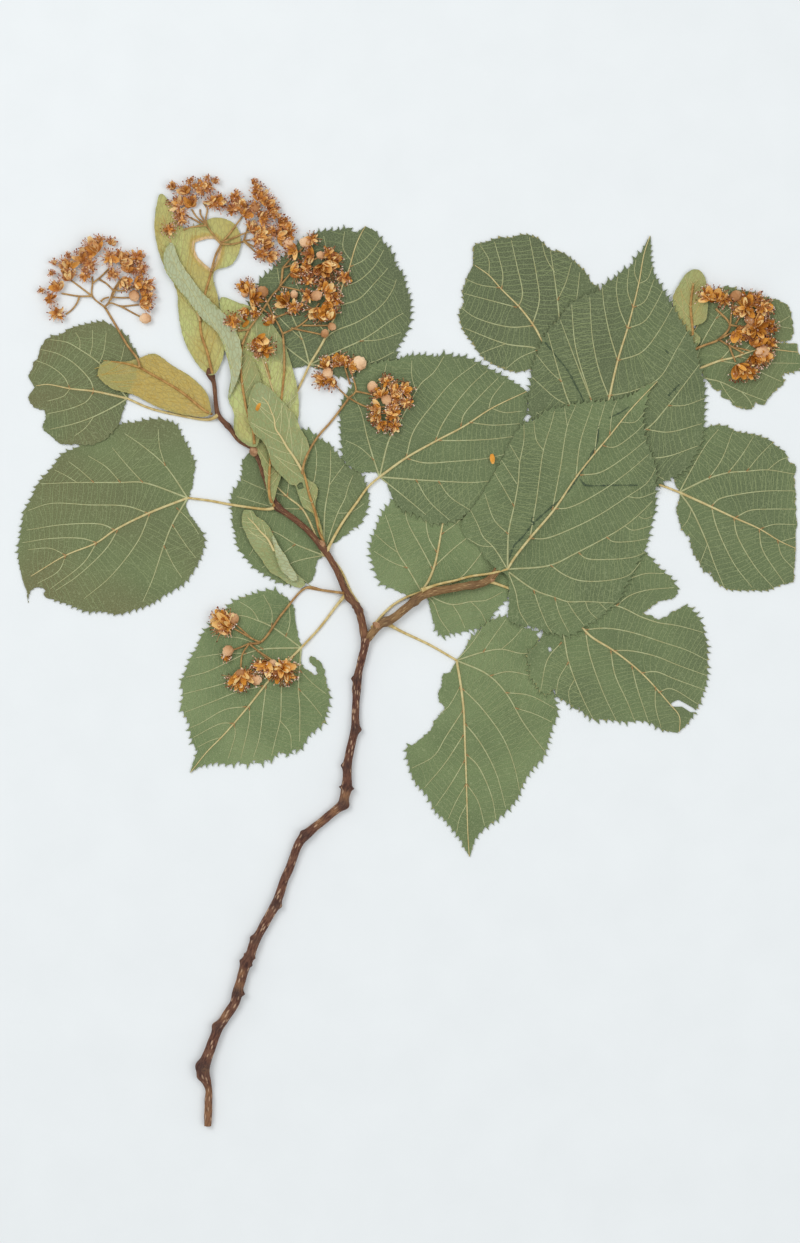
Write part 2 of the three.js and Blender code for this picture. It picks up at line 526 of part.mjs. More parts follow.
// A thin plate inside a margin, made from a disc whose rim is pulled out to it. "heart" is
// a point that every part of the margin can be seen from. Rings let the plate bend.
function plate(margin, heart, rings, thick, underside) {
  const low = rings.map((r) => new THREE.Vector2(r, -0.5));
  const high = rings.map((r) => new THREE.Vector2(r, 0.5)).reverse();
  const disc = new THREE.LatheGeometry([...low, ...high], margin.length);
  const turn = (2 * Math.PI) / margin.length;
  return solid(mapped(disc, (v) => {
    const s = Math.hypot(v.x, v.z);
    const angle = (Math.atan2(v.x, v.z) + 2 * Math.PI) % (2 * Math.PI);
    const rim = margin[Math.round(angle / turn) % margin.length];
    const x = heart[0] + s * (rim[0] - heart[0]);
    const y = heart[1] + s * (rim[1] - heart[1]);
    v.set(x, y, underside(x, y) + (v.y + 0.5) * thick);
  }));
}

// Lists a margin so that it runs anticlockwise, as the disc does.
function anticlockwise(points) {
  const area = points.reduce((sum, p, i) => sum + cross(p, points[(i + 1) % points.length]), 0);
  return area > 0 ? points : [...points].reverse();
}

// A flat plate inside any outline.
function slab(outline, z, thick) {
  const shape = new THREE.Shape(anticlockwise(outline).map(([x, y]) => new THREE.Vector2(x, y)));
  return solid(new THREE.ExtrudeGeometry(shape, { depth: thick, bevelEnabled: false })
    .translate(0, 0, z));
}

// A straight punch through everything, to take a bite out of a blade.
const punch = (outline) => slab(outline, -PUNCH_REACH, 2 * PUNCH_REACH);

// ---- Leaves ----

function leaf({ at, lean, rest, ridge = 0, tip, petiole, margin, bites = [] }) {
  const turn = THREE.MathUtils.degToRad(lean);
  const [c, s] = [Math.cos(turn), Math.sin(turn)];
  const toPlan = ([along, across]) =>
    [at[0] + along * c - across * s, at[1] + along * s + across * c];
  const underside = (x, y) => rest + ridge * (ridge ? ridgeAt(x, y) : 0);
  const outline = anticlockwise(toothed(margin.map(toPlan), [at, toPlan(tip ?? [0, 0])]));
  const rings = ridge ? [0, 0.5, 1] : [0, 1];
  const heart = toPlan([HEART, 0]);
  let blade = plate(outline, heart, rings, LEAF_THICK, underside);
  for (const bite of bites) blade = blade.subtract(punch(bite));

  const [stemR, bladeR, tipR] = PETIOLE_R;
  const count = petiole.length;
  const stalk = petiole.map(([x, y, z], i) => {
    const r = THREE.MathUtils.lerp(stemR, bladeR, i / count);
    return [x, y, z ?? lieOn(x, y, r), r];
  });
  // The midrib shares the stalk's line; its back stands a little proud of the blade.
  const ribTo = tip ? RIB_SHARE : 0;
  const [along, across] = tip ?? [PETIOLE_ROOT, 0];
  const ribSteps = tip ? RIB_STEPS : 1;
  for (let i = 0; i <= ribSteps; i++) {
    const share = tip ? (i / ribSteps) * ribTo : i;
    const [x, y] = toPlan([along * share, across * share * share]);
    const r = tip ? THREE.MathUtils.lerp(bladeR, tipR, i / ribSteps) : LEAF_THICK / 2;
    const stands = tip ? RIB_STANDS : 0;
    stalk.push([x, y, underside(x, y) + LEAF_THICK + stands - r, r]);
  }
  return {
    shape: keptClear(blade.add(limb(stalk, STALK_SIDES))),
    clearance: limb(stalk.slice(0, count + 1), STALK_SIDES, CLEAR),
  };
}

for (const [name, spec] of Object.entries(LEAVES)) {
  const { shape, clearance } = leaf(spec);
  limbsPlaced.push(clearance);
  place(name, shape, LEAF);
}

// ---- Bracts ----

function bract({ rest, rib, blades, bites = [] }) {
  const [baseR, endR] = BRACT_RIB_R;
  const last = rib.length - 1;
  const line = rib.map(([x, y, z], i) => {
    const r = THREE.MathUtils.lerp(baseR, endR, i / last);
    return [x, y, z ?? rest + BRACT_THICK + RIB_STANDS - r, r];
  });
  const plates = blades.map(({ at, margin }) => {
    const outline = smooth(margin.map(([x, y]) => [at[0] + x, at[1] + y]));
    return slab(outline, rest, BRACT_THICK);
  });
  let shape = join([...plates, limb(line, STALK_SIDES)]);
  for (const bite of bites) shape = shape.subtract(punch(bite));
  return { shape: keptClear(shape), clearance: limb(line, STALK_SIDES, CLEAR) };
}

for (const [name, spec] of Object.entries(BRACTS)) {
  const { shape, clearance } = bract(spec);
  limbsPlaced.push(clearance);
  place(name, shape, BRACT);
}

// ---- Flower clusters ----

// An open flower: five petals, as a star-shaped cushion.
function bloom(x, y, z, radius, degrees) {
  const low = [0, 1].map((r) => new THREE.Vector2(r, -0.5));
  const high = [1, 0].map((r) => new THREE.Vector2(r, 0.5));
  const star = new THREE.LatheGeometry([...low, ...high], 2 * PETALS);
  return solid(mapped(star, (v) => {
    const angle = Math.atan2(v.x, v.z);
    const petal = Math.round(angle / (Math.PI / PETALS)) % 2 === 0;
    const r = Math.hypot(v.x, v.z) * radius * (petal ? 1 : FLOWER_NOTCH);
    const turn = angle + THREE.MathUtils.degToRad(degrees);
    v.set(x + r * Math.cos(turn), y + r * Math.sin(turn), z + v.y * FLOWER_THICK);
  }));
}

// A stalk laid over the pile, bowed a little where it is long.
function stalk(from, to, r, sides) {
  const run = Math.hypot(to[0] - from[0], to[1] - from[1]);
  const parts = Math.max(1, Math.round(run / STALK_STEP));
  return limb(Array.from({ length: parts + 1 }, (_, i) => {
    const [x, y] = [0, 1].map((k) => THREE.MathUtils.lerp(from[k], to[k], i / parts));
    const z = i === 0 ? from[2] : i === parts ? to[2] : lieOn(x, y, r);
    return [x, y, z, r];
  }), sides);
}

function cluster({ joints, blooms, buds }) {
  const at = joints.map(([x, y]) => [x, y, lieOn(x, y, PEDUNCLE_R)]);
  const pieces = joints.slice(1).map(([, , parent], i) =>
    stalk(at[parent], at[i + 1], PEDUNCLE_R, STALK_SIDES));
  for (const [x, y, radius, joint, degrees] of blooms) {
    const z = lieOn(x, y, radius) - radius + FLOWER_THICK / 2;
    pieces.push(bloom(x, y, z, radius, degrees));
    pieces.push(stalk(at[joint], [x, y, z], PEDICEL_R, PEDICEL_SIDES));
  }
  for (const [x, y, radius, joint] of buds) {
    const z = lieOn(x, y, radius);
    const ball = new THREE.IcosahedronGeometry(radius, 0);
    pieces.push(solid(ball.scale(1, BUD_STRETCH, 1).translate(x, y, z)));
    pieces.push(stalk(at[joint], [x, y, z], PEDICEL_R, PEDICEL_SIDES));
  }
  return keptClear(join(pieces));
}

for (const [name, spec] of Object.entries(CLUSTERS)) place(name, cluster(spec), FLOWER);

// ---- The whole branch, its box centred on the origin and standing on Z = 0 ----

const box = new THREE.Box3().setFromObject(specimen);
const middle = box.getCenter(new THREE.Vector3());
specimen.position.set(-middle.x, -middle.y, -box.min.z);

const group = new THREE.Group();
group.add(specimen);

export default group;
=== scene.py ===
# %% [markdown]
# # A pressed linden branch in flower
# A cut branch of a linden was pressed flat and dried: a woody stem that forks, fourteen
# heart-shaped leaves with their undersides up, and seven flower stalks, each fused to a
# papery bract. Everything lies on one pale surface, so the whole scene is a thin pile. This
# notebook starts from the solid parts and dresses each of them.

# %% Load the frame
import math
import random

import bmesh
import bpy
import numpy as np
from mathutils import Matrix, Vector, noise
from numpy.linalg import norm


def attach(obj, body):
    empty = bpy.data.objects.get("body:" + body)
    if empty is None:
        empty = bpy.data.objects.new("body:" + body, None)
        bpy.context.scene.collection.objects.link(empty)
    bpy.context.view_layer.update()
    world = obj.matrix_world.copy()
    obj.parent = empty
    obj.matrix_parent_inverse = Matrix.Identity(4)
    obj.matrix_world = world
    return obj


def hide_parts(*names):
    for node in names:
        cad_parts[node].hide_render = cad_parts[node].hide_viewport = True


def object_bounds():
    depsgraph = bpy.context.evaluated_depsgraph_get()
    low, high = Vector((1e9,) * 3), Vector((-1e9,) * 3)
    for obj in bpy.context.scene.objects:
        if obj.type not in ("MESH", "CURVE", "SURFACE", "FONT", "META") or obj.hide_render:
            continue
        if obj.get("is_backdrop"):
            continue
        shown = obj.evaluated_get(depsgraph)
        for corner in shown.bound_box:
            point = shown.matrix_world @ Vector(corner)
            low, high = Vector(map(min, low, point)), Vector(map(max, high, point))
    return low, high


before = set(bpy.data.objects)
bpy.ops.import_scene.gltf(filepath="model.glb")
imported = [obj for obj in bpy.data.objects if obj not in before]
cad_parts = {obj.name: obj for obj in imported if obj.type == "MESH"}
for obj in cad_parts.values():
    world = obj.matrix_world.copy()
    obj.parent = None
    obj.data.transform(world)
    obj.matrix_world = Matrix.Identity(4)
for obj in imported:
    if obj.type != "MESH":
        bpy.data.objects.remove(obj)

cad_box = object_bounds()
print("solids:", len(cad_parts), "box:", cad_box)

# %% [markdown]
# ## Camera
# The branch is seen straight from above, with the tip of the branch at the top. A long lens
# from about a metre keeps the perspective flat.

# %% Camera
MM = 0.001
scene = bpy.context.scene
camera_data = bpy.data.cameras.new("camera")
camera_data.lens = 85
camera_data.sensor_width = 36
camera = bpy.data.objects.new("camera", camera_data)
camera.location = (-3.19 * MM, 10.68 * MM, 1.048)
scene.collection.objects.link(camera)
scene.camera = camera
scene.view_settings.view_transform = "Standard"
print("camera height:", camera.location.z)

# %% [markdown]
# ## Wires for shader nodes
# A material is easier to read as arithmetic than as a list of links. `Wire` holds a socket,
# and each sign between two wires adds a Math node. `Finish` is one material; its `node`
# method adds any other node, and `mix` blends colours, which a Math node would turn grey.

# %% Wires
class Wire:
    def __init__(self, finish, socket):
        self.finish = finish
        self.socket = socket

    def math(self, operation, first, second):
        return self.finish.node("Math", {"operation": operation}, {0: first, 1: second})[0]

    def __add__(self, other):
        return self.math("ADD", self, other)

    def __sub__(self, other):
        return self.math("SUBTRACT", self, other)

    def __rsub__(self, other):
        return self.math("SUBTRACT", other, self)

    def __mul__(self, other):
        return self.math("MULTIPLY", self, other)

    __radd__ = __add__
    __rmul__ = __mul__


def srgb(red, green, blue):
    """A colour as seen on a screen, 0 to 255, as the linear colour that a node wants."""
    parts = [c / 255 for c in (red, green, blue)]
    return (*[c / 12.92 if c <= 0.04045 else ((c + 0.055) / 1.055) ** 2.4 for c in parts], 1)


print("wire signs: + - *")


# %% Finishes
class Finish:
    def __init__(self, name, roughness, specular=0.3):
        self.material = bpy.data.materials.new(name)
        self.material.use_nodes = True
        self.tree = self.material.node_tree
        self.shader = self.tree.nodes["Principled BSDF"]
        self.shader.inputs["Roughness"].default_value = roughness
        self.shader.inputs["Specular IOR Level"].default_value = specular

    def node(self, kind, settings=None, values=None):
        """Adds a node: its settings first, then the values or wires of its sockets."""
        node = self.tree.nodes.new("ShaderNode" + kind)
        for key, value in (settings or {}).items():
            if key == "stops":
                ramp = node.color_ramp.elements
                for place, colour in value[2:]:
                    ramp.new(place)
                for stop, (place, colour) in zip(ramp, sorted(value)):
                    stop.position, stop.color = place, colour
            else:
                setattr(node, key, value)
        for key, value in (values or {}).items():
            self.put(node.inputs[key], value)
        return [Wire(self, out) for out in node.outputs]

    def put(self, socket, value):
        if isinstance(value, Wire):
            self.tree.links.new(value.socket, socket)
        else:
            socket.default_value = value

    def set(self, **values):
        for key, value in values.items():
            self.put(self.shader.inputs[key.replace("_", " ")], value)

    def grain(self, stretch=(1, 1, 1), source="Object", turn=0.0):
        """Coordinates in millimetres, so that scales below are counts per millimetre."""
        output, size = {"Object": (3, 1000), "UV": (2, 1)}[source]
        values = {"Vector": self.node("TexCoord")[output], "Rotation": (0, 0, turn),
                  "Scale": [size * s for s in stretch]}
        return self.node("Mapping", {}, values)[0]

    def noise(self, where, scale, detail, rough=0.5):
        values = {"Vector": where, "Scale": scale, "Detail": detail, "Roughness": rough}
        return self.node("TexNoise", {}, values)[0]

    def cells(self, where, scale, feature="DISTANCE_TO_EDGE"):
        return self.node("TexVoronoi", {"feature": feature}, {"Vector": where, "Scale": scale})[0]

    def between(self, value, low, high, to_low=0, to_high=1):
        """A soft step, from to_low where the value is low to to_high where it is high."""
        values = dict(enumerate((value, low, high, to_low, to_high)))
        return self.node("MapRange", {"interpolation_type": "SMOOTHSTEP"}, values)[0]

    def mix(self, share, first, second):
        """Blends wires or screen colours, which a Mix node has on sockets 6 and 7."""
        first, second = [c if isinstance(c, Wire) else srgb(*c) for c in (first, second)]
        return self.node("Mix", {"data_type": "RGBA"}, {0: share, 6: first, 7: second})[2]

    def attribute(self, name):
        """A number stored at each vertex, which an Attribute node has on its third output."""
        return self.node("Attribute", {"attribute_name": name})[2]

    def bump(self, height, depth):
        """Relief: depth is in millimetres for a height from 0 to 1."""
        values = {"Height": height, "Distance": depth * MM, "Strength": 1}
        self.set(Normal=self.node("Bump", {}, values)[0])


print("finish methods ready")

# %% [markdown]
# ## Floor and light
# A pressed branch lies on a plain sheet. The floor is one large flat face, with a mottle too
# faint to notice. Two large soft lamps and an even sky leave only faint shadows under the
# edges of the leaves; a small lamp would draw hard ones that hide the thin rims.

# %% Floor
def floor_finish():
    f = Finish("floor_paper", 0.9)
    mottle = f.noise(f.grain(), 0.05, 4)
    f.set(Base_Color=f.mix(mottle, (226, 231, 233), (232, 237, 239)))
    return f.material


def take(bm):
    """The mesh that a bmesh has drawn."""
    mesh = bpy.data.meshes.new("part")
    bm.to_mesh(mesh)
    bm.free()
    return mesh


floor_bm = bmesh.new()
bmesh.ops.create_grid(floor_bm, x_segments=1, y_segments=1, size=1.5)
floor = bpy.data.objects.new("floor", take(floor_bm))
floor.data.materials.append(floor_finish())
scene.collection.objects.link(floor)
floor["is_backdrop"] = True
print("floor:", len(floor.data.vertices), "corners")


# %% Lamps
def hang_lamp(name, place, size, watts):
    lamp = bpy.data.lights.new(name, "AREA")
    lamp.shape, lamp.size, lamp.energy = "SQUARE", size, watts
    obj = bpy.data.objects.new(name, lamp)
    obj.location = place
    obj.rotation_euler = (-Vector(place)).to_track_quat("-Z", "Y").to_euler()
    scene.collection.objects.link(obj)


hang_lamp("lamp_left", (-0.75, 0.55, 1.25), 0.7, 8.4)
hang_lamp("lamp_right", (0.9, -0.2, 1.3), 0.9, 5.4)
world = bpy.data.worlds.new("sky")
world.use_nodes = True
sky_colour, sky_strength = world.node_tree.nodes["Background"].inputs[:2]
sky_colour.default_value = (1, 1, 1, 1)
sky_strength.default_value = 0.64
scene.world = world
print("lamps: 2, sky:", round(sky_strength.default_value, 2))

# %% [markdown]
# ## Leaf finishes
# A dried leaf is a dull grey-green with a very fine net of veins, darker hollows between the
# meshes, and a brownish cast that grows with age. The larger veins are pale and straw-brown,
# so they get their own finishes. Each finish reads the place on the piece in millimetres.

# %% Leaf blade
def leaf_finish():
    f = Finish("leaf_underside", 0.66)
    where = f.grain()
    deep = f.attribute("deep")
    broad = f.noise(where, 0.06, 3)
    green = f.mix(f.between(broad, 0.3, 0.7), (101, 119, 78), (115, 133, 88))
    olive = f.mix(f.attribute("age"), green, (128, 118, 74))
    bright = f.mix(f.between(deep, -0.5, 0, 0.8, 0), olive, (142, 157, 110))
    shaded = f.mix(deep, bright, (84, 92, 66))
    net = f.between(f.cells(where, 1.1), 0.02, 0.14)
    speck = f.noise(where, 2.2, 3, 0.7)
    pale = f.mix((1 - net) * 0.4, shaded, (152, 162, 120))
    mottled = f.mix(f.between(speck, 0.4, 0.75, 0, 0.42), pale, (80, 94, 62))
    rim = f.between(f.attribute("rim"), 0.3, 0.9, 0, 0.85)
    f.set(Base_Color=f.mix(rim, mottled, (158, 150, 98)))
    f.set(Roughness=f.between(speck, 0.2, 0.8, 0.6, 0.74))
    f.bump(net * -0.6 + speck * 0.5, 0.12)
    return f.material


def streaked_finish(name, first, second, roughness=0.6, scale=0.5):
    """Two colours in soft streaks, for veins, stalks and scales."""
    f = Finish(name, roughness)
    where = f.grain()
    share = f.between(f.noise(where, scale, 3, 0.6), 0.32, 0.68)
    f.set(Base_Color=f.mix(share, first, second))
    f.bump(f.noise(where, 3, 2), 0.08)
    return f.material


LEAF_FINISHES = [
    leaf_finish(),
    streaked_finish("vein_midrib", (206, 196, 144), (188, 168, 114)),
    streaked_finish("vein_side", (176, 182, 138), (162, 162, 116)),
    streaked_finish("vein_fine", (150, 161, 116), (137, 150, 106)),
    streaked_finish("petiole_skin", (212, 194, 138), (186, 160, 98)),
    streaked_finish("vein_tuft", (172, 142, 96), (150, 116, 74), 0.9, 1.5),
    # painted shade: a dark finish for strands laid in the folds of a blade, where shade falls
    streaked_finish("leaf_crease_shade", (62, 76, 58), (84, 98, 72), 0.9, 1.5),
]
SKIN, MIDRIB, SIDE_VEIN, FINE_VEIN, PETIOLE, TUFT, CREASE_SHADE = range(7)
print("leaf finishes:", len(LEAF_FINISHES))

# %% [markdown]
# ## Bract finishes
# A bract is tissue between two nets of veins, a coarse one that leans and a fine one. It is
# painted paler where only the floor lies behind it, for the light that shines through; it is
# yellow with age, and brown where it died. A finish for each bract could show that, but one
# that reads numbers at the vertices will do.

# %% Bract paper
def bract_finish():
    f = Finish("bract_paper", 0.6)
    age = f.attribute("age")
    broad = f.noise(f.grain(), 0.14, 3)
    green = f.mix(f.between(age, -0.4, 0.1), (172, 182, 146), (138, 152, 102))
    shade = f.mix(f.between(age + broad * 0.5, 0.3, 1.4), green, (158, 150, 84))
    bright = f.mix(f.between(age + broad * 0.2, 0.3, 1), (184, 194, 124), (184, 160, 82))
    # painted light: where only the floor lies behind, the light shining through the bract is painted as a
    # paler colour
    paper = f.mix(f.attribute("light") * f.between(age, -0.3, 0.1), shade, bright)
    paper = f.mix(f.between(f.attribute("rim"), 0.3, 1, 0, 0.6), paper, (200, 186, 116))
    brown = f.mix(f.between(age, 1.05, 1.4), paper, (216, 180, 132))
    coarse = 1 - f.between(f.cells(f.grain((0.42, 1, 1), "UV", turn=0.5), 0.85), 0.02, 0.12)
    fine = 1 - f.between(f.cells(f.grain(source="UV"), 1.7), 0.02, 0.14)
    veined = f.mix(coarse * 0.4, brown, (152, 140, 90))
    f.set(Base_Color=f.mix(fine * 0.22, veined, (196, 190, 140)))
    f.bump(coarse * 0.8 + fine * 0.4, 0.1)
    return f.material


def rib_finish(name, young, old, oldest):
    """A rib darkens with the bract that it holds."""
    f = Finish(name, 0.6)
    share = f.between(f.noise(f.grain(), 0.5, 3, 0.6), 0.32, 0.68)
    dry = f.mix(share, old, oldest)
    f.set(Base_Color=f.mix(f.between(f.attribute("age"), 0.2, 0.7), young, dry))
    return f.material


BRACT_FINISHES = [
    bract_finish(),
    streaked_finish("bract_stalk", (186, 146, 84), (156, 114, 62)),
    rib_finish("bract_rib", (208, 192, 138), (184, 146, 82), (158, 118, 60)),
    rib_finish("bract_vein", (196, 196, 148), (198, 178, 106), (182, 156, 84)),
]
PAPER, BRACT_STALK, RIB, BRACT_VEIN = range(4)
print("bract finishes:", len(BRACT_FINISHES))

# %% [markdown]
# ## Bark finish
# The bark of a linden twig has fine lengthwise cracks and many pale corky dashes, called
# lenticels. It is dark and crusted round scars, and pale where skin wore off. The pattern
# follows the wood, so it reads a UV map in millimetres, drawn out along the stem.

# %% Bark
def bark_finish(name, dark, light, lenticel):
    f = Finish(name, 0.78)
    streaks = f.noise(f.grain((1, 0.2, 1), "UV"), 2.0, 4, 0.65)
    skin = f.mix(f.between(streaks, 0.34, 0.66), dark, light)
    patch = f.between(f.noise(f.grain(), 0.2, 3), 0.5, 0.68, 0, 0.4)
    skin = f.mix(patch, skin, [0.7 * c + 0.3 * d for c, d in zip(light, lenticel)])
    worn = f.attribute("bare") * f.between(streaks, 0.3, 0.6, 0.3, 1)
    skin = f.mix(worn, skin, (148, 108, 74))
    dash = f.between(f.cells(f.grain((1, 0.32, 1), "UV"), 0.95, "F1"), 0.19, 0.33, 1, 0)
    skin = f.mix(dash * 0.85, skin, lenticel)
    crust = f.noise(f.grain(), 1.6, 4, 0.7)
    knot = f.attribute("knot")
    dark_knot = knot * f.between(crust, 0.35, 0.6, 0.45, 1)
    f.set(Base_Color=f.mix(dark_knot, skin, (62, 46, 42)))
    f.set(Roughness=f.between(streaks, 0.3, 0.7, 0.85, 0.6))
    f.bump(streaks * 0.9 + dash * 0.5 + crust * knot, 0.35)
    return f.material


OLD_BARK = bark_finish("bark_old", (66, 38, 32), (116, 76, 56), (192, 158, 128))
YOUNG_BARK = bark_finish("bark_young", (92, 58, 42), (126, 86, 60), (160, 124, 86))
SHOOT_BARK = bark_finish("bark_shoot", (112, 82, 52), (148, 116, 76), (176, 146, 102))
BUD_SCALE = streaked_finish("bud_scale", (142, 100, 68), (186, 146, 108), 0.5)
print("bark finishes: 3 and", BUD_SCALE.name)

# %% [markdown]
# ## Flower finishes
# Dried petals run from deep amber to pale straw, and no two are alike. Each copy of a petal
# carries a tone, and a ramp turns it into a colour; a material for each petal would do the
# same with dozens of materials. A blush of pink marks the rosier clusters.

# %% Petals, anthers and buds
def petal_finish(name, stops, roughness=0.6, blush=0.5):
    f = Finish(name, roughness, specular=0.12)
    where = f.grain()
    blotch = f.noise(where, 0.5, 3, 0.6)
    fibre = f.noise(where, 2.4, 2)
    share = f.attribute("tone") * 0.85 + blotch * 0.45 + fibre * 0.2 - 0.41
    low, middle, high = [srgb(*c) for c in stops]
    dry = f.node("ValToRGB", {"stops": [(0, low), (1, high), (0.5, middle)]}, {0: share})[0]
    f.set(Base_Color=f.mix(f.attribute("age") * blush, dry, (196, 126, 90)))
    f.bump(fibre, 0.2)
    return f.material


FLOWER_FINISHES = [
    streaked_finish("flower_stalk", (184, 148, 92), (148, 110, 64)),
    petal_finish("petal_dry", [(146, 80, 12), (228, 164, 68), (254, 230, 168)]),
    petal_finish("sepal_dry", [(120, 62, 16), (198, 130, 58), (242, 200, 138)]),
    petal_finish("stamen_thread", [(156, 92, 54), (206, 146, 94), (234, 194, 146)]),
    petal_finish("anther_dark", [(84, 34, 22), (124, 62, 42), (168, 104, 72)]),
    petal_finish("anther_pale", [(214, 178, 156), (232, 208, 190), (244, 230, 216)]),
    petal_finish("bud_felt", [(172, 124, 82), (214, 170, 128), (240, 208, 170)], 0.9, 0.15),
]
STALK, PETAL, SEPAL, THREAD, DARK_ANTHER, PALE_ANTHER, FELT = range(7)
print("flower finishes:", len(FLOWER_FINISHES))

# %% [markdown]
# ## Curves
# All shapes are drawn in millimetres on a plan whose origin is near the middle of the
# branch, and moved into place at the end. A path is text, `x,y x,y`, read into an array and
# rounded by a curve through its points; straight lines between them would look cut out.

# %% Paths
SHIFT = np.array([0.019, -0.212, 0.021])  # from the plan to the frame, in millimetres


def path(text):
    """One row of numbers for each group in the text: "x,y x,y"."""
    return np.array([[float(v) for v in spot.split(",")] for spot in text.split()])


def paths(text):
    """Several paths, with a slash between them."""
    return [path(part) for part in text.split("/")] if text.strip() else []


def smooth(points, step, closed=False):
    """A centripetal curve through the points, one sample about every step millimetres."""
    if closed:
        points = np.vstack([points[-1:], points, points[:2]])
    else:
        points = np.vstack([2 * points[0] - points[1], points, 2 * points[-1] - points[-2]])
    samples = []
    for a, b, c, d in zip(points, points[1:], points[2:], points[3:]):
        ab, bc, cd = [max(norm(q - p), 1e-3) ** 0.5 for p, q in ((a, b), (b, c), (c, d))]
        start = c - b + bc * ((b - a) / ab - (c - a) / (ab + bc))
        end = c - b + bc * ((d - c) / cd - (d - b) / (bc + cd))
        count = max(1, round(bc * bc / step))
        for t in np.arange(count) / count:
            curve = (2 * (b - c) + start + end) * t**3 + (3 * (c - b) - 2 * start - end) * t**2
            samples.append(curve + start * t + b)
    if not closed:
        samples.append(points[-2])
    return np.array(samples)


def run(points):
    """The distance along a line of points, at each of them."""
    return np.concatenate([[0], np.cumsum(norm(np.diff(points, axis=0), axis=1))])


def at(line, marks):
    """The points of a line at given distances along it."""
    s = run(line)
    return np.stack([np.interp(marks, s, column) for column in line.T], axis=-1)


def even(points, step):
    """The same line with evenly spaced points."""
    length = run(points)[-1]
    return at(points, np.linspace(0, length, max(2, round(length / step) + 1)))


def drawn(points, step=1.0, fine=0.8):
    """A drawn line made smooth, then even."""
    return even(smooth(points, fine), step)


def away(spot, x, y):
    return np.hypot(spot[:, 0] - x, spot[:, 1] - y)


print("a sample line:", drawn(path("0,0 3,1 6,0")).round(2).tolist())

# %% [markdown]
# ## The pile
# Leaves, stalks and flowers lie on one another. Cloth simulation could find how, but slowly
# for so many thin blades. The pile is a height map with one cell per millimetre: each piece
# is laid on what is already there, then raises it.

# %% The height map
LOW = np.array([-160.0, -190.0])  # the corner of the map in the plan
pile = np.zeros((320, 380))
CELL_X, CELL_Y = [cells + 0.5 + low for cells, low in zip(np.indices(pile.shape), LOW)]


def level(heights, x, y):
    """The height map between its cells."""
    u, v = np.asarray(x) - LOW[0] - 0.5, np.asarray(y) - LOW[1] - 0.5
    i, j = np.floor(u).astype(int), np.floor(v).astype(int)
    a, b = u - i, v - j
    near = heights[i, j] * (1 - b) + heights[i, j + 1] * b
    return near * (1 - a) + (heights[i + 1, j] * (1 - b) + heights[i + 1, j + 1] * b) * a


def inside(ring, x, y):
    """Which of the spots lie inside a closed line, by counting the sides to the right."""
    result = np.zeros(np.shape(x), bool)
    for (ax, ay), (bx, by) in zip(ring, np.roll(ring, -1, axis=0)):
        if ay != by:
            crosses = ((ay > y) != (by > y)) & (x < (bx - ax) * (y - ay) / (by - ay) + ax)
            result ^= crosses
    return result


def shifted(grid):
    """The four neighbours of every cell."""
    for axis, step in ((0, 1), (0, -1), (1, 1), (1, -1)):
        yield np.roll(grid, step, axis)


def widened(mask, times):
    for _ in range(times):
        mask = mask | np.logical_or.reduce(list(shifted(mask)))
    return mask


def wave(seed, size, height):
    """A slow random swell over the plan, from 0 to height, with waves about size apart."""
    chance = random.Random(seed)
    total = np.zeros(pile.shape)
    for _ in range(5):
        turn, phase = chance.uniform(0, math.tau), chance.uniform(0, math.tau)
        pace = math.tau / (size * chance.uniform(0.6, 1.5))
        total += np.sin((CELL_X * math.cos(turn) + CELL_Y * math.sin(turn)) * pace + phase)
    return np.clip(0.5 + total / 6, 0, 1) * height


print("pile:", pile.shape, "cells")

# %% [markdown]
# ## Laying blades and stalks
# A dried blade keeps some stiffness: it touches the highest things under it and spans the
# hollows between. So its heights start on the pile and are averaged with their neighbours
# many times, never going below what carries them. A stalk does the same along its line.

# %% Drape, bury and lay
DRAPE_ROUNDS = 320
RIM_CELLS = 5  # how far the rise of a rim reaches in
RIM_FALL = 1.6  # the rise falls off over this many cells
HALF_CELL = 0.45  # a stalk raises the cells that it covers by about half
LAY_ROUNDS = 12
HELD_LENGTH = 5  # the stretch of a stalk that bends to meet a held end


def drape(ring, gap, sag, swell, lift):
    """The height of a sheet laid on the pile inside a ring, and the cells that it covers.
    It lies "gap" above what is under it, hangs by "sag" from cell to cell between the things
    that carry it, and its rim stands up by "lift"."""
    core = inside(ring, CELL_X, CELL_Y)
    mask = widened(core, 2)
    rows, columns = np.where(mask)
    box = (slice(rows.min() - 2, rows.max() + 3), slice(columns.min() - 2, columns.max() + 3))
    core_in, mask_in = core[box], mask[box]
    base = np.maximum.reduce([pile[box], *shifted(pile[box])]) + gap + swell[box]
    rim, inner = np.zeros(base.shape), core_in
    for k in range(RIM_CELLS):
        rim[mask_in & (rim == 0) & ~inner] = math.exp(-k / RIM_FALL)
        inner = ~widened(~inner, 1)
    base = base + lift * rim
    count = sum(n.astype(int) for n in shifted(mask_in))
    sheet = np.where(mask_in, base, 0)
    for _ in range(DRAPE_ROUNDS):
        mean = sum(shifted(sheet)) / np.maximum(count, 1)
        sheet = np.where(mask_in, np.maximum(base, mean - sag), 0)
    whole = np.array(pile)
    whole[box] = np.where(mask_in, sheet, pile[box])
    return whole, core


def bury(line, radii):
    """Raises the pile under a round stalk, to just past its sides."""
    for (x, y, z), r in zip(line, radii):
        i, j = int(x - r - LOW[0]), int(y - r - LOW[1])
        reach = int(2 * r) + 2
        part = (slice(i, i + reach), slice(j, j + reach))
        distance = (CELL_X[part] - x) ** 2 + (CELL_Y[part] - y) ** 2
        top = z + np.sqrt(np.maximum(r * r - distance, 0))
        pile[part] = np.maximum(pile[part], np.where(distance < (r + HALF_CELL) ** 2, top, 0))


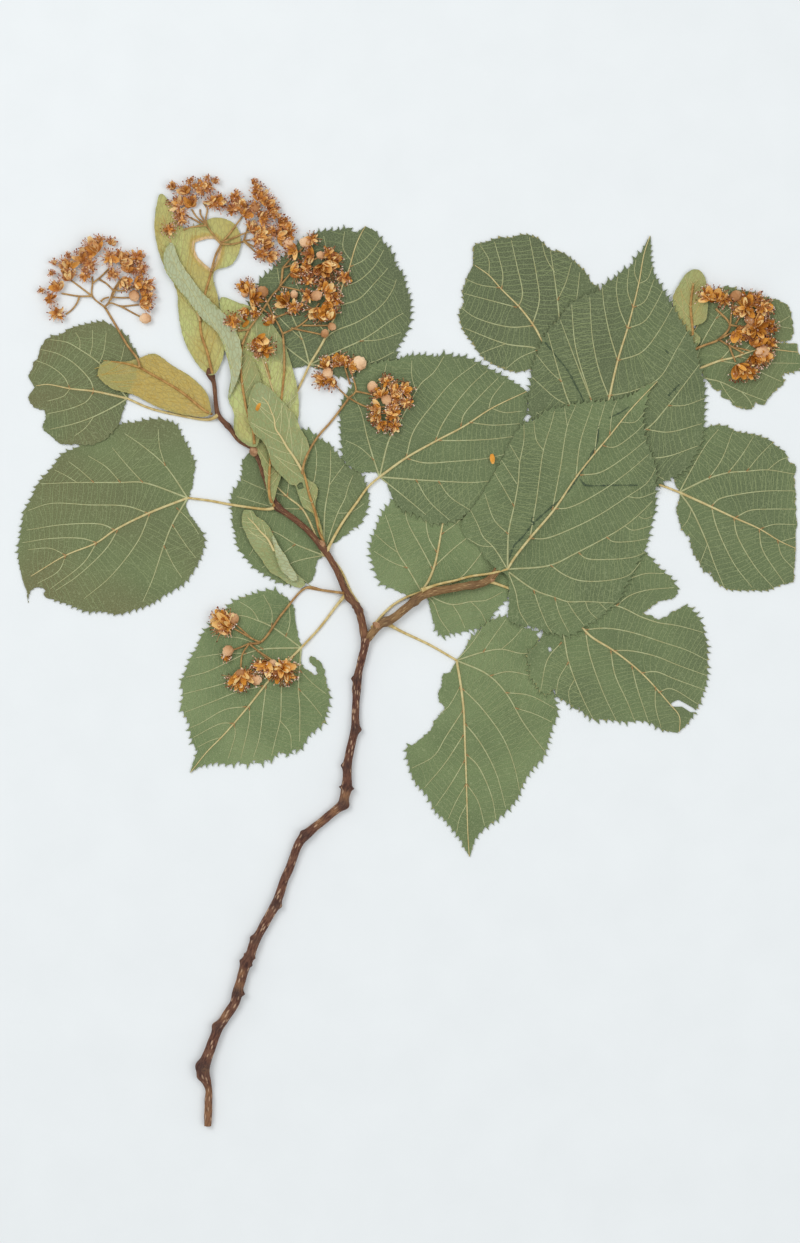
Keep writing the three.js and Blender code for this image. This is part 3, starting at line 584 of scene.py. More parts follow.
def lay(line, radii, gap=0.05, start=None, end=None):
    """A stalk laid over the pile: it follows the ground softly, and its ends may be held at
    given heights."""
    ground = level(pile, line[:, 0], line[:, 1]) + radii + gap
    s = run(line)
    height = ground.copy()
    for _ in range(LAY_ROUNDS):
        middle = (np.roll(height, 1) + np.roll(height, -1)) / 2
        middle[0], middle[-1] = height[0], height[-1]
        height = np.maximum(ground, middle * 0.85 + height * 0.15)
    for held, distance in ((start, s), (end, s[-1] - s)):
        if held is not None:
            share = np.clip(1 - distance / HELD_LENGTH, 0, 1) ** 1.5
            height = height * (1 - share) + held * share
    return np.column_stack([line[:, :2], height])


print("drape:", DRAPE_ROUNDS, "rounds")

# %% [markdown]
# ## From drawings to pieces
# Veins and stalks are strands: a curve object with a round bevel turns each line of points,
# with a radius at every point, into a tube. A finished piece joins its parts in one mesh,
# one material slot per finish, and is scaled to metres where it stands. Thin rims are marked
# sharp, so that smooth shading doesn't bleed round the edge of a blade.

# %% Strands
def strands(lines, sides=0):
    """Tubes along [(points, radii), ...]; more sides for thicker ones."""
    curve = bpy.data.curves.new("strands", "CURVE")
    curve.dimensions = "3D"
    curve.bevel_depth = 1
    curve.bevel_resolution = sides
    curve.use_fill_caps = True
    for points, radii in lines:
        spline = curve.splines.new("POLY")
        spline.points.add(len(points) - 1)
        spline.points.foreach_set("co", np.column_stack([points, np.ones(len(points))]).ravel())
        spline.points.foreach_set("radius", np.broadcast_to(radii, len(points)).astype(float))
    holder = bpy.data.objects.new("strands", curve)
    scene.collection.objects.link(holder)
    bpy.context.view_layer.update()
    shown = holder.evaluated_get(bpy.context.evaluated_depsgraph_get())
    mesh = bpy.data.meshes.new_from_object(shown)
    bpy.data.objects.remove(holder)
    bpy.data.curves.remove(curve)
    return mesh


print("strands ready")


# %% Pieces
SHARP = 0.9  # an edge that turns by more than this angle stays sharp


def piece(name, parts, finishes, node):
    """One object from [(mesh, finish number), ...], standing for a solid, if a node is named."""
    whole = bmesh.new()
    for mesh, number in parts:
        first = len(whole.faces)
        whole.from_mesh(mesh)
        whole.faces.ensure_lookup_table()
        for face in whole.faces[first:]:
            face.material_index = number
            face.smooth = True
        bpy.data.meshes.remove(mesh)
    for edge in whole.edges:
        if len(edge.link_faces) == 2 and edge.calc_face_angle(0) > SHARP:
            edge.smooth = False
    bmesh.ops.translate(whole, verts=whole.verts, vec=Vector(SHIFT))
    bmesh.ops.scale(whole, verts=whole.verts, vec=(MM, MM, MM))
    obj = bpy.data.objects.new(name, take(whole))
    obj.data.name = name
    for material in finishes:
        obj.data.materials.append(material)
    scene.collection.objects.link(obj)
    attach(obj, "root")
    if node:
        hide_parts(node)
    triangles = sum(len(p.vertices) - 2 for p in obj.data.polygons)
    print(name, triangles, "triangles")
    return obj


def spots(obj):
    """The plan position of every vertex of a finished piece, in millimetres."""
    co = np.empty(3 * len(obj.data.vertices))
    obj.data.vertices.foreach_get("co", co)
    return co.reshape(-1, 3)[:, :2] / MM - SHIFT[:2]


def tell(obj, name, values):
    """Stores a number at each vertex, for a finish to read."""
    obj.data.attributes.new(name, "FLOAT", "POINT").data.foreach_set("value", values.astype(float))


print("an edge stays sharp above", SHARP, "radians")

# %% [markdown]
# ## The toothed margin
# The teeth of a linden leaf are sharp and uneven and lean towards the tip. A noise on the
# margin would make them round. So the margin is walked from the base, each tooth is four
# corners that point towards the apex, and the teeth fade out near the petiole.

# %% Teeth
TIP = 5.0  # the straight sides of the tip, in millimetres
TOOTH_PITCH = (1.8, 3.1)
TOOTH_DEPTH = (0.9, 1.8)
FADE_IN = 2.5  # teeth reach their full depth this far outside a plain circle
FADE_OUT = 8  # and they fade out over this length before the tip
RISING_TOOTH = [(0, -0.2), (0.45, 0.06), (0.74, 0.36), (0.93, 1)]  # shares of pitch and depth
FALLING_TOOTH = [(0, -0.2), (0.07, 1), (0.26, 0.36), (0.55, 0.06)]


def anticlockwise(ring):
    a, b = ring, np.roll(ring, -1, axis=0)
    return ring if np.sum(a[:, 0] * b[:, 1] - b[:, 0] * a[:, 1]) > 0 else ring[::-1]


def toothed(margin, plain, base, apex, size, chance):
    """A leaf margin with teeth, but for the circles given by "plain"."""
    ring = anticlockwise(smooth(margin, 0.6, closed=True))
    ring = np.roll(ring, -np.argmin(norm(ring - base, axis=1)), axis=0)
    ring = np.vstack([ring, ring[:1]])
    s = run(ring)
    tip = np.argmin(norm(ring - apex, axis=1))
    turn = s[tip]
    marks, out = [], []
    place = 0.0
    while place < s[-1] - 1:
        pitch = chance.uniform(*TOOTH_PITCH)
        depth = chance.uniform(*TOOTH_DEPTH) * size
        for share, rise in FALLING_TOOTH if place > turn else RISING_TOOTH:
            marks.append(place + share * pitch)
            out.append(rise * depth)
        place += pitch
    first = np.searchsorted(marks, turn)
    marks, out = np.insert(marks, first, turn), np.insert(out, first, 0)
    keep = marks < s[-1] - 0.3
    marks, out = marks[keep], out[keep]
    spot = at(ring, marks)
    along = at(ring, marks + 0.8) - at(ring, marks - 0.8)
    along = along / norm(along, axis=1)[:, None]
    fade = np.ones(len(spot))
    for x, y, r in plain:
        fade = np.minimum(fade, np.clip((away(spot, x, y) - r) / FADE_IN, 0, 1))
    ragged = np.array([chance.uniform(-0.35, 0.3) for _ in out])
    from_tip = np.clip((np.abs(marks - turn) - 1) / FADE_OUT, 0, 1)
    out = (out * fade + ragged * (1 - fade)) * from_tip
    for side in (-1, 1):
        share = (marks - turn) * side / TIP
        near = (share >= 0) & (share < 1)
        spot[near] = ring[tip] + (at(ring, turn + side * TIP) - ring[tip]) * share[near, None]
    return spot + np.column_stack([along[:, 1], -along[:, 0]]) * out[:, None]


print("teeth:", TOOTH_PITCH, "mm apart and", TOOTH_DEPTH, "mm deep")

# %% [markdown]
# ## Blades
# A blade is drawn as one face round its margin, cut into a fine net by straight cuts both
# ways, and laid on the pile vertex by vertex. Extruding the whole net downwards gives it a
# thickness. A subdivided grid would bend as well, but its margin would be a staircase.

# %% Net, holes and thickness
BLADE_THICK = 0.2


def net(ring, pitch):
    """A flat net of faces inside a ring."""
    bm = bmesh.new()
    bm.faces.new([bm.verts.new((x, y, 0)) for x, y in ring])
    low, high = ring.min(0), ring.max(0)
    for axis, normal in ((0, (1, 0, 0)), (1, (0, 1, 0))):
        for place in np.arange(low[axis] + pitch * 0.37, high[axis], pitch):
            everything = bm.faces[:] + bm.edges[:] + bm.verts[:]
            spot = [0, 0, 0]
            spot[axis] = place
            bmesh.ops.bisect_plane(bm, geom=everything, dist=1e-4, plane_co=spot, plane_no=normal)
    return bm


def punch(bm, hole):
    """Cuts a hole with a given outline: first its sides, then the faces inside go."""
    low, high = hole.min(0) - 2, hole.max(0) + 2
    for a, b in zip(hole, np.roll(hole, -1, axis=0)):
        near = []
        for face in bm.faces:
            centre = np.array(face.calc_center_median()[:2])
            if np.all(centre > low) and np.all(centre < high):
                near.append(face)
        corners = dict.fromkeys(v for face in near for v in face.verts)
        edges = dict.fromkeys(e for face in near for e in face.edges)
        bmesh.ops.bisect_plane(bm, geom=[*corners, *edges, *near], dist=1e-4,
                               plane_co=(*a, 0), plane_no=(b[1] - a[1], a[0] - b[0], 0))
    faces = bm.faces[:]
    centres = np.array([face.calc_center_median() for face in faces])
    flags = inside(hole, centres[:, 0], centres[:, 1])
    gone = [face for face, flag in zip(faces, flags) if flag]
    bmesh.ops.delete(bm, geom=gone, context="FACES")


def blade(ring, pitch, holes, heights):
    """A thin sheet inside a ring, laid on a height map."""
    bm = net(ring, pitch)
    for hole in holes:
        punch(bm, hole)
    for v in bm.verts:
        v.co.z = level(heights, v.co.x, v.co.y) + BLADE_THICK
    result = bmesh.ops.extrude_face_region(bm, geom=bm.faces[:])
    lower = [v for v in result["geom"] if isinstance(v, bmesh.types.BMVert)]
    bmesh.ops.translate(bm, verts=lower, vec=(0, 0, -BLADE_THICK))
    bmesh.ops.recalc_face_normals(bm, faces=bm.faces[:])
    return take(bm)


def on_margin(spot, ring):
    """Which vertices stand on a margin."""
    return np.any([norm(spot - corner, axis=1) < 0.05 for corner in ring], axis=0)


print("blades:", BLADE_THICK, "mm thick")

# %% [markdown]
# ## Veins
# Every leaf has a midrib, a fan of main veins from the base, side veins that leave them, and
# ladder-like fine veins that cross from one side vein to the next. The larger ones are
# drawn; the rungs are found by looking straight out from each vein until another vein or the
# margin is met. Each is a tapering strand lying half in the blade.

# %% Rungs
RUNG_STEP = 1.75
SHORTEST_RUNG, LONGEST_RUNG = 1.2, 13
MARGIN_REACH = 9  # from this near the margin a rung may end in it
OWN_VEIN = 0.9  # a wall nearer than this is the vein that the rung starts on


def hit(origins, ways, walls, reach):
    """The distance from each origin along its way to the nearest wall, but for its own."""
    a, side = walls[:, 0], walls[:, 1] - walls[:, 0]
    cross = ways[:, None, 0] * side[None, :, 1] - ways[:, None, 1] * side[None, :, 0]
    gap = a[None] - origins[:, None]
    safe = np.where(np.abs(cross) < 1e-9, 1e-9, cross)
    t = (gap[..., 0] * side[None, :, 1] - gap[..., 1] * side[None, :, 0]) / safe
    u = (gap[..., 0] * ways[:, None, 1] - gap[..., 1] * ways[:, None, 0]) / safe
    good = (u >= 0) & (u <= 1) & (t > OWN_VEIN) & (t < reach)
    return np.where(good, t, np.inf).min(axis=1)


def rungs(veins, ring, chance):
    """Fine veins that cross from each vein but the midrib to the next one on its left, and
    from the first of them on both sides."""
    walls = [np.stack([v[:-1], v[1:]], axis=1) for v in veins]
    rim = np.stack([ring, np.roll(ring, -1, axis=0)], axis=1)
    lines = []
    for k, vein in enumerate(veins[1:], 1):
        marks = np.arange(1.5, run(vein)[-1], RUNG_STEP)
        marks = marks + np.array([chance.uniform(-0.3, 0.3) for _ in marks])
        spot = at(vein, marks)
        way = at(vein, marks + 0.5) - spot
        far = norm(way, axis=1)
        spot, way = spot[far > 1e-3], way[far > 1e-3] / far[far > 1e-3][:, None]
        if not len(spot):
            continue
        others = np.concatenate([w for j, w in enumerate(walls) if j != k])
        for turn in (-1, 1) if k < 2 else (1,):
            out = np.column_stack([-way[:, 1], way[:, 0]]) * turn + way * 0.12
            far_vein = hit(spot, out, others, LONGEST_RUNG)
            far_rim = hit(spot, out, rim, MARGIN_REACH)
            for p, d, to_vein, to_rim in zip(spot, out, far_vein, far_rim):
                reach = min(to_vein, to_rim * 0.85)
                if not SHORTEST_RUNG < reach < LONGEST_RUNG:
                    continue
                t = np.linspace(0, 1, max(3, round(reach / 1.8)))
                bow = np.sin(t * math.pi) * chance.uniform(-0.06, 0.1) * reach
                jitter = np.array([chance.uniform(-0.12, 0.12) for _ in t]) * (t > 0) * (t < 1)
                across = np.array([-d[1], d[0]])
                lines.append(p + d * (t * reach)[:, None] + across * (bow + jitter)[:, None])
    ends = np.cumsum([len(line) for line in lines])
    within = np.split(inside(ring, *np.concatenate(lines).T), ends[:-1])
    return [line for line, kept in zip(lines, within) if kept.all()]


print("rungs: one every", RUNG_STEP, "mm")


# %% Vein strands
FULL_MAIN, FULL_SIDE = 40, 26  # a vein as long as this has its full thickness
TUFT_LENGTH = 1.5


def on_blade(heights, line, rise):
    """A line in the plan, lifted by "rise" over the blade that lies there."""
    z = level(heights, line[:, 0], line[:, 1]) + BLADE_THICK + rise
    return np.column_stack([line, z])


def tapered(line, thick, thin, power):
    """Radii that go from thick + thin to thin along a line."""
    return thick * (1 - np.linspace(0, 1, len(line))) ** power + thin


def veinwork(heights, midrib, main, side, ring, chance):
    """The strands of one blade, in four groups: midrib, larger veins, rungs and tufts."""
    trunk = drawn(midrib)
    mains = [drawn(vein) for vein in main]
    sides = [drawn(vein) for vein in side]
    thick = [(on_blade(heights, trunk, 0.12), tapered(trunk, 0.36, 0.13, 0.8))]
    thin, tufts = [], []
    for vein in mains:
        size = min(1, run(vein)[-1] / FULL_MAIN)
        thin.append((on_blade(heights, vein, 0.06), tapered(vein, 0.24 * size, 0.13, 0.9)))
    for vein in sides:
        size = min(1, run(vein)[-1] / FULL_SIDE)
        thin.append((on_blade(heights, vein, 0.04), tapered(vein, 0.14 * size, 0.12, 0.9)))
        way = vein[min(3, len(vein) - 1)] - vein[0]
        tuft = vein[0] + np.outer([0, 0.5, 1], way / max(norm(way), 1e-6)) * TUFT_LENGTH
        if size > 0.45:  # only the larger side veins have a tuft of hair in their corner
            tufts.append((on_blade(heights, tuft, 0.2), np.array([0.3, 0.22, 0.08])))
    lines = rungs([trunk, *mains, *sides], ring, chance)
    fine = [(on_blade(heights, line, 0.02), 0.095) for line in lines]
    return thick, thin, fine, tufts


print("a tuft is", TUFT_LENGTH, "mm long")

# %% [markdown]
# ## One leaf
# A leaf is a blade, its veins and its petiole. The petiole runs from its node on the stem to
# the base of the blade, over what lies there. A leaf also keeps three numbers at each
# vertex for its finish: how old it looks, how deep its green is, and where its rim dried.

# %% Leaf maker
NET_PITCH = 1.25


def petiole_strand(drawing, start, end):
    line = drawn(drawing)
    radii = 0.5 - 0.1 * np.linspace(0, 1, len(line)) + 0.45 * np.exp(-run(line) / 1.6)
    laid = lay(line, radii, start=start, end=end)
    bury(laid, radii)
    return laid, radii


def crease_shade_strands(text, heights, chance):
    """Dark strands of uneven width: painted shade in the folds, where a blade bends over what lies beneath.
    """
    for line in paths(text):
        line = drawn(line, 0.8)
        radii = np.array([chance.uniform(0.08, 0.42) for _ in line])
        yield on_blade(heights, line, -0.03), radii


def make_leaf(name, seed, petiole, start, margin, plain, midrib, main, side,
              age=0.0, deep=0.0, shades="", teeth=1.0, rim=0.5, holes="", crease_shades=""):
    """Start is the height of the petiole on the stem. Plain gives circles without teeth, and
    shades gives circles that are darker or lighter by a fourth number."""
    global pile
    chance = random.Random(seed)
    midrib = path(midrib)
    base, apex = midrib[0], midrib[-1]
    ring = toothed(path(margin), path(plain), base, apex, teeth, chance)
    heights, core = drape(ring, gap=0.14, sag=0.02, swell=wave(seed, 26, 0.16), lift=0.18)
    skin = blade(ring, NET_PITCH, paths(holes), heights)
    thick, thin, fine, tufts = veinwork(heights, midrib, paths(main), paths(side), ring, chance)
    pile = np.where(core, heights + BLADE_THICK, pile)
    for line, radii in thick + thin:
        bury(line, radii)
    stalk = petiole_strand(path(petiole), start, level(heights, *base) + BLADE_THICK + 0.2)
    parts = [(skin, SKIN), (strands(thick, 2), MIDRIB), (strands(thin, 1), SIDE_VEIN),
             (strands(fine), FINE_VEIN), (strands([stalk], 3), PETIOLE), (strands(tufts, 1), TUFT)]
    # painted shade: dark strands along the folds stand for the shade in them
    if crease_shades:
        parts.append((strands(crease_shade_strands(crease_shades, heights, chance), 1), CREASE_SHADE))
    leaf = piece(name + "_pressed", parts, LEAF_FINISHES, name)
    spot = spots(leaf)
    reach = norm(spot - base, axis=1) / norm(apex - base)
    patch = level(wave(seed + 50, 30, 1), *spot.T)
    tell(leaf, "age", np.clip(age * (0.3 + 1.5 * reach * patch), 0, 1))
    deep = deep + 0.25 * (patch - 0.5)
    for x, y, r, more in path(shades):
        deep = deep + more * np.exp(-((away(spot, x, y) / r) ** 2))
    tell(leaf, "deep", deep)
    tell(leaf, "rim", on_margin(spot, ring) * rim)


print("net pitch:", NET_PITCH, "mm")

# %% [markdown]
# ## The lower leaves
# Twelve leaves lie under the stems, in this order from the lowest. Each is drawn by its
# margin, its midrib, the main veins that fan out from the base, and the side veins. Lines
# of its own keep each leaf from looking stamped, as a formula for all of them would.

# %% Leaf 3
make_leaf(
    "leaf_3", 11, start=2.1, age=0.1, deep=0.16, teeth=0.8,
    petiole="-17,14 -18,17 -20.5,21 -24.5,29.5 -28,33.5 -30.5,34.5",
    margin="""-30.5,34.5 -33,32 -33.5,28.5 -34.5,25.5 -36,24.5 -45.5,24.5 -50,27 -52,28 -54.5,29.5
    -56.5,31.5 -58.5,34 -60.5,36.5 -61.5,38.5 -62,42.5 -63,45.5 -63,49 -63.5,53.5 -63,57 -60.5,60.5
    -59.5,64.5 -59.5,68 -58.5,69.5 -52.5,75.5 -44,80 -38,79.5 -35.5,79 -33,77 -31,75.5 -28,74 -26.5,71.5
    -24,69 -21.5,66 -17,63.5 -15.5,60 -14.5,56.5 -14.5,53 -16,48.5 -17.5,45.5 -19.5,44.5 -23.5,41 -28,38""",
    plain="-31,33.5,12",
    midrib="-30.5,34.5 -32.5,39.5 -38,51 -43.5,55.5 -48.5,60.5 -57,73",
    main="""-30.5,34.5 -30,50.5 -28.5,59.5 -28,65.5 -28,72 / -30.5,34.5 -25.5,49.5 -23,54.5 -21.5,59.5
    -20,63 / -30.5,34.5 -40.5,38.5 -48.5,43 -60.5,44.5 / -30.5,34.5 -40,32.5 -44.5,30.5 -49,28""",
    side="""-38,51 -34,60.5 -33,70.5 -34.5,77 / -28.5,59.5 -24.5,65 -23,67 / -38,51 -47,51.5 -61.5,55.5 /
    -43.5,55.5 -51.5,58 -59.5,61.5 / -43.5,55.5 -42.5,65 -44,75.5 / -48.5,43 -53,40 -57,34.5 / -25.5,49.5
    -20.5,50 -16,53 / -40.5,38.5 -46,34.5 -52.5,30""",
    shades="-25,58,13,0.2",
)

# %% Leaf 7
make_leaf(
    "leaf_7", 12, start=1.8, deep=-0.2,
    petiole="-13,8.5 -10.5,12 -6,16.5 -1,19.5 4.5,21.5",
    margin="""2,19 -2.5,21 -7,23 -10.5,25 -12,28.5 -13.5,33.5 -14,36 -13.5,39.5 -12,43.5 -10.5,47.5
    -9,50.5 -6.5,53.5 -2,61.5 8,67 17.5,65.5 27,59.5 33,49.5 36,38 36,25.5 35,19 33,17 30,13.5 28,10
    25,8.5 22,8 18.5,7 14.5,6.5 12,5.5 9.5,8.5 9,10 8,13 7.5,15.5 7,18 4.5,20.5""",
    plain="4,20.5,10",
    midrib="4.5,21.5 7,25.5 9,30.5 10.5,37 12,45.5 14.5,55.5 17,63.5",
    main="""4.5,21.5 -0.5,30 -4,35.5 -6,42 -8.5,49 / 4.5,21.5 17,25.5 23,31.5 29,40 / 4.5,21.5 15,17
    22,18 27.5,18.5 33.5,21.5 / 4.5,21.5 8.5,18 11,12 14.5,7""",
    side="""8.5,29.5 4.5,37 -0.5,46.5 -2,54.5 / 10,35.5 7,41 6,50.5 7.5,59.5 / 9,30.5 16,37 21,41 27.5,47
    / 11.5,42 17.5,46.5 24,54.5 / -0.5,30 -6,32 -12.5,36 / -4,35.5 -7.5,38 -12,42 / 15.5,17 18,13 20,8.5
    / 22,18 25.5,14.5 27.5,10.5""",
    shades="6,42,8,0.2",
)

# %% Leaf 5
make_leaf(
    "leaf_5", 13, start=1.9, deep=0.66,
    petiole="-55,72 -50.5,78.5 -44.5,85.5 -40,93 -38,97 -35.5,102.5",
    margin="""-57,121.5 -57,125 -54,129 -53.5,132.5 -50,135.5 -48.5,137 -42,144 -34.5,149 -32,150
    -29,150.5 -25.5,150.5 -22,151.5 -20.5,150.5 -18,149 -17,150.5 -14.5,152.5 -12,150.5 -10.5,148 -8,145
    -5.5,141.5 -4.5,137.5 -2.5,135.5 -1,130 0.5,126 0.5,122.5 0.5,119 -0.5,115 -3,110.5 -4.5,108
    -4.5,104.5 -12,100 -23,98 -32,101 -34.5,101.5 -37,102 -42,101.5 -50.5,107 -56,115.5""",
    plain="-36,101.5,8",
    midrib="-35.5,102.5 -30.5,111 -26,121.5 -24,130 -21.5,136.5 -19,145 -17,149.5 -15.5,152",
    main="""-35.5,102.5 -24,108 -17.5,111 -12.5,114 -7,118 -2,121 / -35.5,102.5 -38,111.5 -42,120.5
    -46,131 -47,137 / -35.5,102.5 -44,109 -51.5,116.5 -56,121.5 / -35.5,102.5 -24.5,102 -13,103.5
    -5.5,107""",
    side="""-30.5,111 -27.5,114 -18,118 -9.5,124 -5.5,130 -4.5,133 / -25.5,123.5 -18,126 -12,132 -7.5,137
    / -23,130.5 -18,132.5 -12.5,137.5 -9,143.5 / -21,137.5 -16,140 -12.5,144 -10.5,147 / -20.5,139.5
    -23.5,144 -23,150 / -24,130 -28,138 -30.5,148.5 / -26,121.5 -32.5,130 -37.5,139 -39,145 / -29.5,113.5
    -35.5,121.5 -40,131 -43,140.5 / -38,111.5 -45,118 -52.5,127 / -17.5,111 -10.5,111.5 -3,114""",
    shades="-13,130,15,0.2",
)

# %% Leaf 2
make_leaf(
    "leaf_2", 14, start=2.2, age=0.5, deep=0.28, teeth=0.8,
    petiole="-47,52 -49.5,51 -63,52.5 -71,54 -79,55",
    margin="""-78,56.5 -77,62 -76.5,67 -78.5,72.5 -81.5,78 -83,81 -88,83 -92.5,83 -98,82 -102.5,81.5
    -110.5,78 -117.5,73.5 -124,70.5 -126.5,67 -129.5,63.5 -132.5,60 -135,54.5 -137.5,50 -138,46.5
    -139,40.5 -139.5,36.5 -139,30.5 -138,26 -136.5,22 -136,17 -135,22 -132.5,23 -129.5,22 -130.5,20.5
    -121.5,17 -115,14.5 -109.5,14.5 -104,13.5 -98.5,15 -92.5,17 -87,20.5 -80.5,24.5 -76,30.5 -73.5,36.5
    -73,40.5 -75,44.5 -78,49 -79.5,52""",
    plain="-78,54.5,10.5 -133.5,19.5,5.5",
    midrib="-79,55 -93,49.5 -105,43.5 -111.5,39 -122.5,34.5 -135,27",
    main="""-79,55 -87,66.5 -95,73.5 -101.5,78 / -79,55 -95,60.5 -103,60.5 -112.5,60.5 -118.5,60.5
    -131.5,60 / -79,55 -84.5,45.5 -87.5,38 -91.5,26 -95,18""",
    side="""-93,49.5 -100.5,52 -114,52.5 -128,53 -136,50.5 / -105,43.5 -109.5,45.5 -123,45.5 -136.5,43.5
    / -111.5,39 -116.5,40.5 -128,40.5 -138,39 / -122.5,34.5 -128,37 -136,36.5 / -92.5,49.5 -96.5,40
    -106.5,27 -116,19 / -104,43.5 -108,37 -118.5,27 -126,22 / -111.5,39 -116,32 -128,22.5 / -122.5,34.5
    -125,29 -132.5,24.5 / -95,60.5 -100.5,66.5 -106,73 / -103,60.5 -108,66 -114.5,70 / -112.5,60.5
    -117.5,65 -121.5,68 / -118.5,60.5 -122.5,63 -126.5,65 / -87,66.5 -89,73 -89.5,79.5 / -84.5,45.5
    -79.5,38 -76,33.5 / -87.5,38 -84,31 -81,26.5 / -83,51.5 -78,46.5 -75,42""",
)

# %% Leaf 4
make_leaf(
    "leaf_4", 15, start=2.2, deep=-0.2, rim=0.7,
    petiole="-22.5,20.5 -25.5,17 -32,8.5 -38.5,1.5",
    margin="""-38.5,2 -39.5,6 -40.5,11 -41,15.5 -42.5,18.5 -45.5,20.5 -48,22 -51,22 -54.5,21 -58,20
    -59.5,19.5 -62.5,18 -65,16 -72,8.5 -74,6 -75.5,2 -77,-0.5 -78.5,-3.5 -79.5,-6 -80.5,-9 -81.5,-10.5
    -80.5,-15.5 -81.5,-19 -80,-22.5 -78.5,-25.5 -78,-29 -77,-33 -75.5,-35 -76.5,-38 -77.5,-41 -78.5,-44.5
    -76.5,-42 -73.5,-40.5 -71.5,-40 -68.5,-39.5 -65.5,-40 -62.5,-40 -60.5,-39 -57.5,-40.5 -55.5,-38.5
    -53,-40 -50.5,-38 -49.5,-39 -46,-35.5 -43,-37 -42,-35 -39,-35 -37,-32 -35.5,-29.5 -33,-27.5
    -30.5,-25.5 -29.5,-22 -28.5,-18 -28.5,-14.5 -29.5,-10.5 -30.5,-5.5 -33,-2.5 -35.5,-1.5 -35.5,-3
    -33.5,-5.5 -32.5,-8 -34,-8 -35.5,-7 -38,-4.5 -39,-1.5""",
    plain="-39,2.5,10.5 -41,14,6 -33,-6.5,7",
    midrib="-38.5,1.5 -43.5,-3.5 -49,-9 -57,-19 -62.5,-25.5 -67,-30.5 -72,-35.5 -78,-43",
    main="""-38.5,1.5 -49,9 -53.5,11 -60,13 -67.5,12 / -38.5,1.5 -52,1 -58,-0.5 -62.5,-2.5 -72,-7
    -79.5,-9 / -38.5,1.5 -39.5,-13 -39,-19.5 -39,-32""",
    side="""-58,-19.5 -65.5,-20.5 -74.5,-25.5 -78,-27 / -52,-12 -62,-14.5 -69.5,-17.5 -80,-21.5 /
    -62.5,-25.5 -67,-25.5 -77,-30.5 / -67,-30.5 -70.5,-31.5 -75.5,-34 / -47.5,-7 -57,-8 -67,-11.5
    -80.5,-15 / -51,-12 -52,-20 -53.5,-31 -55.5,-37.5 / -45,-5.5 -45.5,-12.5 -46,-24.5 -47.5,-30.5
    -49,-37 / -46,-24.5 -42.5,-29 -42,-34.5 / -57,-19.5 -57,-24.5 -60,-38 / -62.5,-25.5 -62,-29 -64.5,-38
    / -39.5,-13 -34.5,-18.5 -31,-23 / -39,-6.5 -34,-11.5 -29.5,-15 / -49,9 -49,14.5 -52,20.5 / -53.5,11
    -56,15 -60.5,18 / -44,5.5 -42.5,10.5 -43,18 / -52,1 -58.5,4.5 -69.5,6 / -58,-0.5 -65.5,-0.5 -76,-2""",
    shades="-50,11,15,0.25 -39,-22,14,0.25 -73,2,10,0.15",
)

# %% Leaf 10
make_leaf(
    "leaf_10", 16, start=2.0, age=0.04, deep=0.62, teeth=0.5, rim=1,
    petiole="64.5,69.5 63,77 62.5,85.5 60.5,91 55.5,101.5",
    margin="""23,145 28,146.5 32.5,148 36.5,148 40,149 44.5,148.5 47.5,146.5 50.5,143.5 54,143 59,139.5
    63,135.5 65.5,131.5 67.5,130.5 69.5,122 67.5,110.5 62,103.5 56,101.5 49.5,100.5 43.5,101 39,100
    35.5,100.5 30.5,102.5 26,105.5 22.5,110.5 19,115.5 18,121.5 19.5,124.5 19,129 20,131.5 21,135
    23,138.5 23,142""",
    plain="56,101.5,8",
    midrib="55.5,101.5 48,110.5 44.5,116.5 39.5,123 33,129.5 28.5,134.5 23.5,138",
    main="""55.5,101.5 54,115 53,125.5 51.5,136.5 50.5,143 / 55.5,101.5 46.5,108 34.5,110 20,115.5 /
    55.5,101.5 62,111.5 68,121.5""",
    side="""44,116.5 46.5,125.5 45.5,134.5 43,148 / 39,123 40.5,127.5 38.5,138 36.5,147 / 33,129.5
    33.5,134.5 30.5,146.5 / 28.5,134.5 28.5,140 25.5,145 / 54,115 59,123 61,135.5 / 53,125.5 56,132
    58,139 / 52,135.5 49,140.5 47.5,146 / 44.5,116.5 36,116 23.5,119.5 18.5,123 / 38.5,123 29,125.5
    19.5,128 / 32.5,130 25.5,131 20.5,133 / 46.5,108 39.5,105 34.5,101 / 34.5,110 29,108 25.5,106.5""",
    shades="42,134,20,0.3",
)

# %% Leaf 11
make_leaf(
    "leaf_11", 17, start=1.9, age=0.2, deep=0.2, teeth=0.6, rim=1,
    petiole="66.5,73 72.5,80 82.5,89 96.5,95.5 102,100.5",
    margin="""112.5,130.5 115.5,130 119,129 124.5,128 127.5,126.5 132,125.5 135.5,123.5 136.5,120.5
    137,116.5 137,113 136,111.5 131.5,110.5 139,110 140.5,108 138,106.5 140.5,105 140.5,102 137.5,100
    133,99 134,97 133.5,95.5 130.5,93 128.5,90.5 126,88 123.5,89 122.5,87 118,87 115.5,88.5 114,90
    111.5,91 111.5,93.5 110,93 108,95 107,96.5 105,99 103,101.5 100.5,107 102.5,116.5 106.5,125
    109.5,128.5""",
    plain="121,90,13 137,118,9 103,101.5,8.5 136,109.5,4.5",
    midrib="102,100.5 111,104 115.5,105 125.5,108 139,107",
    main="""102,100.5 103.5,108 108,116.5 111.5,122.5 114.5,129 / 102,100.5 105,98 111,96.5 118.5,93
    127.5,89.5""",
    side="""111,104 119,113 125.5,121.5 128,125.5 / 118,106 125.5,113 136,120 / 109.5,119 116.5,124
    121.5,128 / 111,104 120,102 133,96.5 / 117.5,105.5 126,103.5 139,103 / 111,96.5 113,93 116,89 /
    118.5,93 121,90.5 122.5,88 / 119,113 127,116.5 136.5,115.5""",
)

